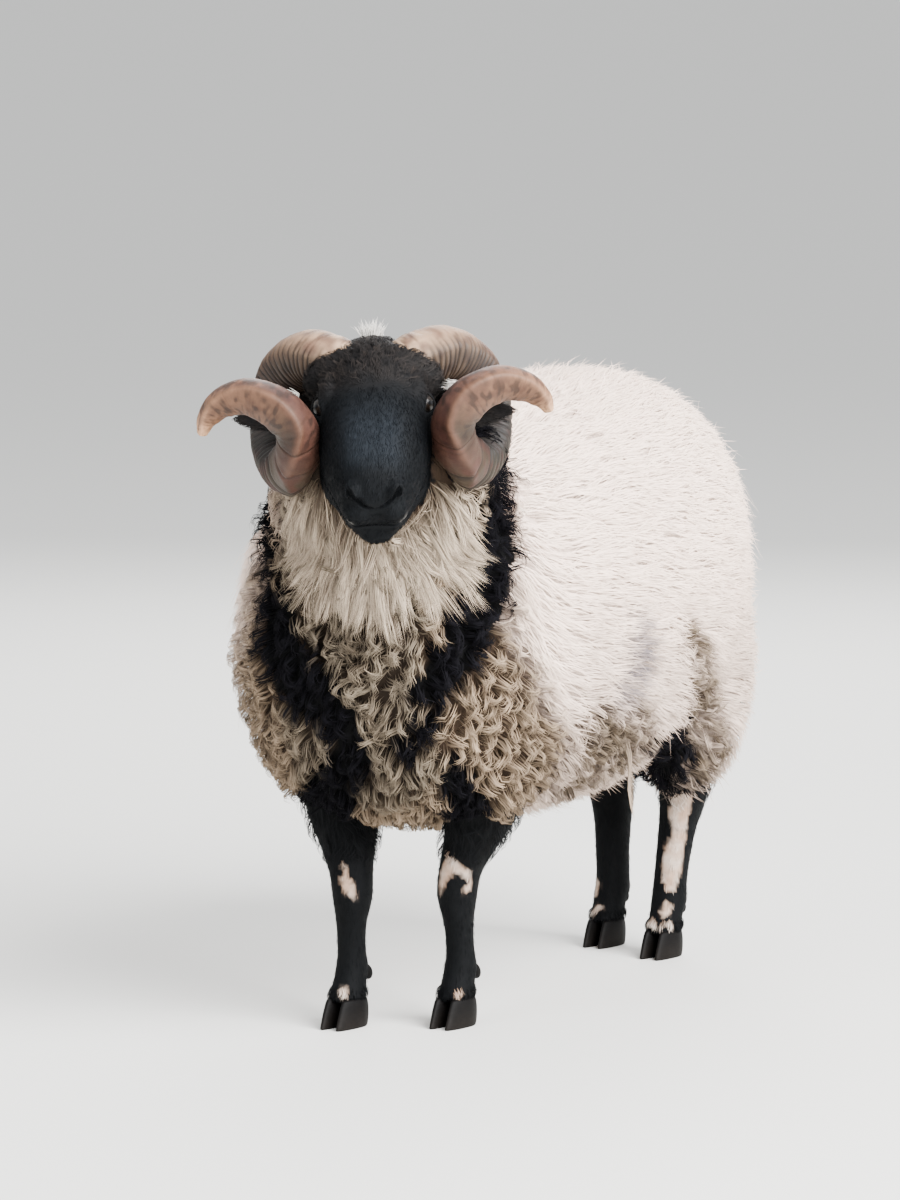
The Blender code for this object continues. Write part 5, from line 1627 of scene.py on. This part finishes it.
def build_face_hair(surface, draw):
    """Short hair on face and ears, curled wool on the forehead, and bare lips and nostrils."""
    made = []

    def keep(points, normals):
        ok = nearest_of(points, [eye_centre(-1), eye_centre(1)]) > BARE_ROUND_EYE
        ok &= nearest_of(points, NOSTRIL_SPOTS) > BARE_ROUND_NOSTRIL
        for centres, radii, _ in HORN_PATHS.values():
            for centre, radius in zip(centres[::3], radii[::3]):
                ok &= np.linalg.norm(points - centre, axis=1) > radius
        across, along, out = head_place(points)
        lips = (along > 0.150) & (np.abs(out + 0.069) < 0.0035)
        bare = (along > 0.203) & (np.abs(across) < 0.012) & (out > -0.045)
        return ok & ~lips & ~bare

    def face_lie(points):
        across, along, _ = head_place(points)
        downward = ALONG * 1.0 - OUT * 0.15
        aside = 0.9 * np.sign(across) * ease(np.abs(across), 0.0, 0.05)
        upward = -ALONG * 0.9 + OUT * 0.1 + ACROSS * aside[:, None]
        return unit(mix(upward, downward, ease(along, 0.045, 0.095)))

    def woolly(points):
        _, along, out = head_place(points)
        return (1 - ease(along, 0.030, 0.072)) * ease(out, -0.125, -0.095)

    points, normals = surface.scatter("face_hair", ("head",), draw, keep)
    short = draw.random(len(points)) > 0.75 * woolly(points)
    points, normals = points[short], normals[short]
    muzzle = ease(head_place(points)[1], 0.165, 0.195)
    made += grow(surface, "face_hair", points, normals, face_lie(points), unwrap_face, hair_colour, draw,
                 **LOCKS["face_hair"], length=0.0072 - 0.0034 * muzzle)
    points, normals = surface.scatter("forehead_wool", ("head",), draw, keep)
    thick = draw.random(len(points)) < woolly(points)
    points, normals = points[thick], normals[thick]
    made += grow(surface, "forehead_wool", points, normals, face_lie(points), unwrap_face, hair_colour,
                 draw, **LOCKS["forehead_wool"])
    for side, name, label in ((-1, "ear_hair_right", 0), (1, "ear_hair_left", 1)):
        _, far, _, _ = ear_frame(side)
        points, normals = surface.scatter("ear_hair", ("ear",), draw,
                                          lambda p, n, s=side: (p - CROWN) @ ACROSS * s > 0.05)
        lie = np.tile(far, (len(points), 1))
        made += grow(surface, name, points, normals, lie, lambda p, k=label: unwrap_head(p)[1][k],
                     hair_colour, draw, **LOCKS["ear_hair"])
    return made


def tufts(wool):
    """White tufts: one on the poll between the horns, and one before each ear."""
    draw = np.random.default_rng(SEED + 5)
    crown = unit(HEAD_UP - FACING * 0.35)
    near_right = unit(-ACROSS * 0.9 + HEAD_UP * 0.15 + FACING * 0.2)
    near_left = unit(-ACROSS * 0.95 + HEAD_UP * 0.15 + FACING * 0.2)
    # Middle, way, length, spread and number of fibres
    places = [(on_head(-0.001, -0.030, -0.030), crown, 0.019, 0.0046, 280),
              (beside_head(-0.083, -0.006, -0.056), near_right, 0.018, 0.0022, 160),
              (beside_head(0.098, -0.006, -0.050), near_left, 0.016, 0.0022, 140)]
    paths, lies, roots = [], [], []
    for centre, way, length, spread, count in places:
        side = unit(np.cross(way, UP + 0.01))
        other = np.cross(side, way)
        a, b = draw.normal(0, spread, (2, count, 1))
        root = centre + side * a + other * b * 0.5
        heading = unit(way + (side * a + other * b) * 30 + draw.normal(0, 0.16, (count, 3)))
        bend = draw.normal(0, 0.25, (count, 3)) - np.array([0, 0, 0.2])
        t = np.linspace(0, 1, 6)[None, :, None]
        size = length * draw.uniform(0.6, 1.2, (count, 1, 1))
        paths.append(root[:, None] + heading[:, None] * t * size + bend[:, None] * t**2 * size * 0.6)
        lies.append(np.repeat(unit(np.cross(heading, np.cross(FACING, heading)))[:, None], 6, axis=1))
        roots.append(root)
    path, lie, root = np.vstack(paths), np.vstack(lies), np.vstack(roots)
    count = len(path)
    shade = draw.uniform(0.55, 1.05, (count, 1))
    tip = np.clip(WHITE_TIP * shade, 0, 1)
    width = np.full(count, 0.0008)
    uv = unwrap_face(root)
    # Roots at six tenths of the tip's colour: painted shade deep in the tufts
    obj = strand_mesh("white_tufts", path, lie, width, width * 0.5, tip * 0.6, tip, uv, 0.4)
    dress(obj, wool, "cream_wool")


def hanging_lock(wool):
    """One long wavy lock that hangs from the left edge of the belly."""
    draw = np.random.default_rng(SEED + 7)
    count, steps, length = 60, 9, 0.108
    t = np.linspace(0, 1, steps)[None, :, None]
    top = np.array([0.183, 0.205, 0.335])
    root = top + draw.normal(0, 0.0028, (count, 3))
    centre = top + np.array([0.004, 0.010, -length]) * t
    wave = 0.0030 * np.sin(14 * t) * np.array([0.9, 0.5, 0.0])
    size = draw.uniform(0.55, 1.05, (count, 1, 1))
    path = root[:, None] + (centre + wave - root[:, None]) * (1 - (1 - t) ** 1.5)
    path[:, :, 2] = root[:, None, 2] - (root[:, None, 2] - path[:, :, 2]) * size[:, :, 0]
    outward = np.tile(unit(np.array([0.8, -0.6, 0.0])), (count, steps, 1))
    tip = np.clip(mix(DUST_AND_SHADE_TIP, CREAM_TIP, 0.15) * draw.uniform(0.8, 1.1, (count, 1)), 0, 1)
    width = np.full(count, 0.0009)
    uv = unwrap_body(root)
    # Roots at six tenths of the tip's colour: painted shade deep in the lock
    obj = strand_mesh("hanging_lock", path, outward, width, width * 0.5, tip * 0.6, tip, uv, 0.2)
    dress(obj, wool, "cream_wool")


# Radii where the floor stops being level and where it ends, and its rise
FLOOR_LEVEL, FLOOR_REACH, FLOOR_RISE = 12.0, 34.0, 0.008
SKY, SKY_STRENGTH = (0.90, 0.92, 0.95, 1.0), 1.25
# Lamps: name, place, side in metres, watts; all point at the middle of the ram
LAMPS = (
    ("key", (4.4, -1.4, 3.6), 4.6, 1800.0),
    ("fill", (-1.2, -4.4, 2.4), 3.0, 130.0),
    ("rim", (-1.6, 3.6, 3.0), 2.4, 220.0),
)
LIT_AT = (0.0, 0.0, 0.45)


def stage_and_light():
    """A pale matt floor, level round the ram and rising slowly far out, so that no horizon shows."""
    floor_look, _, shader = material("pale_painted_floor", 0.85, specular=0.2)
    shader.inputs["Base Color"].default_value = (*FLOOR_GREY, 1.0)
    corners, rings = 96, 28
    turn = np.linspace(0, 2 * math.pi, corners, endpoint=False)
    points, faces = [], [tuple(range(corners))]
    for k, far in enumerate(np.linspace(FLOOR_LEVEL, FLOOR_REACH, rings)):
        up = FLOOR_RISE * (far - FLOOR_LEVEL) ** 2
        points += [(far * math.cos(a), far * math.sin(a), up) for a in turn]
        if k:
            start = corners * k
            for i in range(corners):
                m = (i + 1) % corners
                faces.append((start - corners + i, start + i, start + m, start - corners + m))
    mesh = bpy.data.meshes.new("floor")
    mesh.from_pydata(points, [], faces)
    mesh.polygons.foreach_set("use_smooth", np.ones(len(faces), bool))
    floor = bpy.data.objects.new("floor", mesh)
    floor.data.materials.append(floor_look)
    bpy.context.scene.collection.objects.link(floor)
    world = bpy.data.worlds.new("studio")
    world.use_nodes = True
    background = world.node_tree.nodes["Background"]
    background.inputs["Color"].default_value = SKY
    background.inputs["Strength"].default_value = SKY_STRENGTH
    bpy.context.scene.world = world
    for name, spot, size, power in LAMPS:
        data = bpy.data.lights.new(name, "AREA")
        data.energy, data.size = power, size
        lamp = bpy.data.objects.new(name, data)
        lamp.location = spot
        lamp.rotation_euler = (Vector(LIT_AT) - Vector(spot)).to_track_quat("-Z", "Y").to_euler()
        bpy.context.scene.collection.objects.link(lamp)


def set_camera():
    """The photo's viewing angle: from the ram's front left, a little above it."""
    azimuth, far, height = math.radians(29.0), 6.0, 1.13
    aside, down = math.atan2(45.0, 5220.0), math.radians(6.03)
    data = bpy.data.cameras.new("camera")
    data.sensor_width = 36.0
    data.lens = 156.6
    data.clip_end = 100.0
    camera = bpy.data.objects.new("camera", data)
    away = Vector((math.sin(azimuth) * far, -math.cos(azimuth) * far, height))
    camera.location = Vector(SHIFT) + away
    ahead = Vector((-math.sin(azimuth), math.cos(azimuth), 0.0))
    right = Vector((math.cos(azimuth), math.sin(azimuth), 0.0))
    look = ahead * math.cos(aside) + right * math.sin(aside)
    look = look * math.cos(down) - Vector((0, 0, math.sin(down)))
    camera.rotation_euler = look.to_track_quat("-Z", "Y").to_euler()
    bpy.context.scene.collection.objects.link(camera)
    bpy.context.scene.camera = camera


def paint_skin(skin, surface):
    """The skin's colours: the hair's on head and legs, and under the fleece the wool's roots, darkened
    as painted shade.
    """
    points = surface.points
    hairy = np.isin(surface.owner, [PARTS.index(p) for p in ("head", "ear", "leg", "scrotum")])
    wool_root, _ = wool_colour(points + surface.normals * WOOL_DEPTH)
    hair_root, hair_tip = hair_colour(points)
    # Four fifths of the wool's root colour under the fleece: painted shade in the gaps between strands
    colour = np.where(hairy[:, None], mix(hair_root, hair_tip, 0.4), wool_root * 0.8)
    mesh = skin.data
    mesh.vertices.foreach_set("co", (points + SHIFT).ravel())
    paint(mesh, colour)
    layer = mesh.uv_layers.new(name="OFBake")
    corners = np.empty(len(mesh.loops), int)
    mesh.loops.foreach_get("vertex_index", corners)
    layer.data.foreach_set("uv", unwrap_body(points)[corners].astype(np.float32).ravel())
    mesh.polygons.foreach_set("use_smooth", np.ones(len(mesh.polygons), bool))
    mesh.update()


def main():
    wool, hair = wool_material(), hair_material()
    skin, owner = build_skin()
    surface = Surface(skin, owner)
    paint_skin(skin, surface)
    dress(skin, skin_material(), "black_hair", "torso", "neck", "head", "tail", "scrotum", "ear_left",
          "ear_right", *["leg_" + which for which in LEGS])
    horn_look, eye_look, claw_look = horn_material(), eye_material(), claw_material()
    for side, name in ((1, "left"), (-1, "right")):
        dress(horn_piece(side, "curled_horn_" + name), horn_look, "horn", "horn_" + name)
        dress(eye_piece(side, "wet_eye_" + name), eye_look, "eye", "eye_" + name)
    kinds = [(kind, hand) for kind in ("hoof", "dewclaw") for hand in ("inner", "outer")]
    for which in LEGS:
        nodes = [f"{kind}_{which}_{hand}" for kind, hand in kinds]
        dress(claws_piece(which), claw_look, "hoof", *nodes)
    build_coat(surface, wool, hair)
    tufts(wool)
    hanging_lock(wool)
    stage_and_light()
    set_camera()


main()
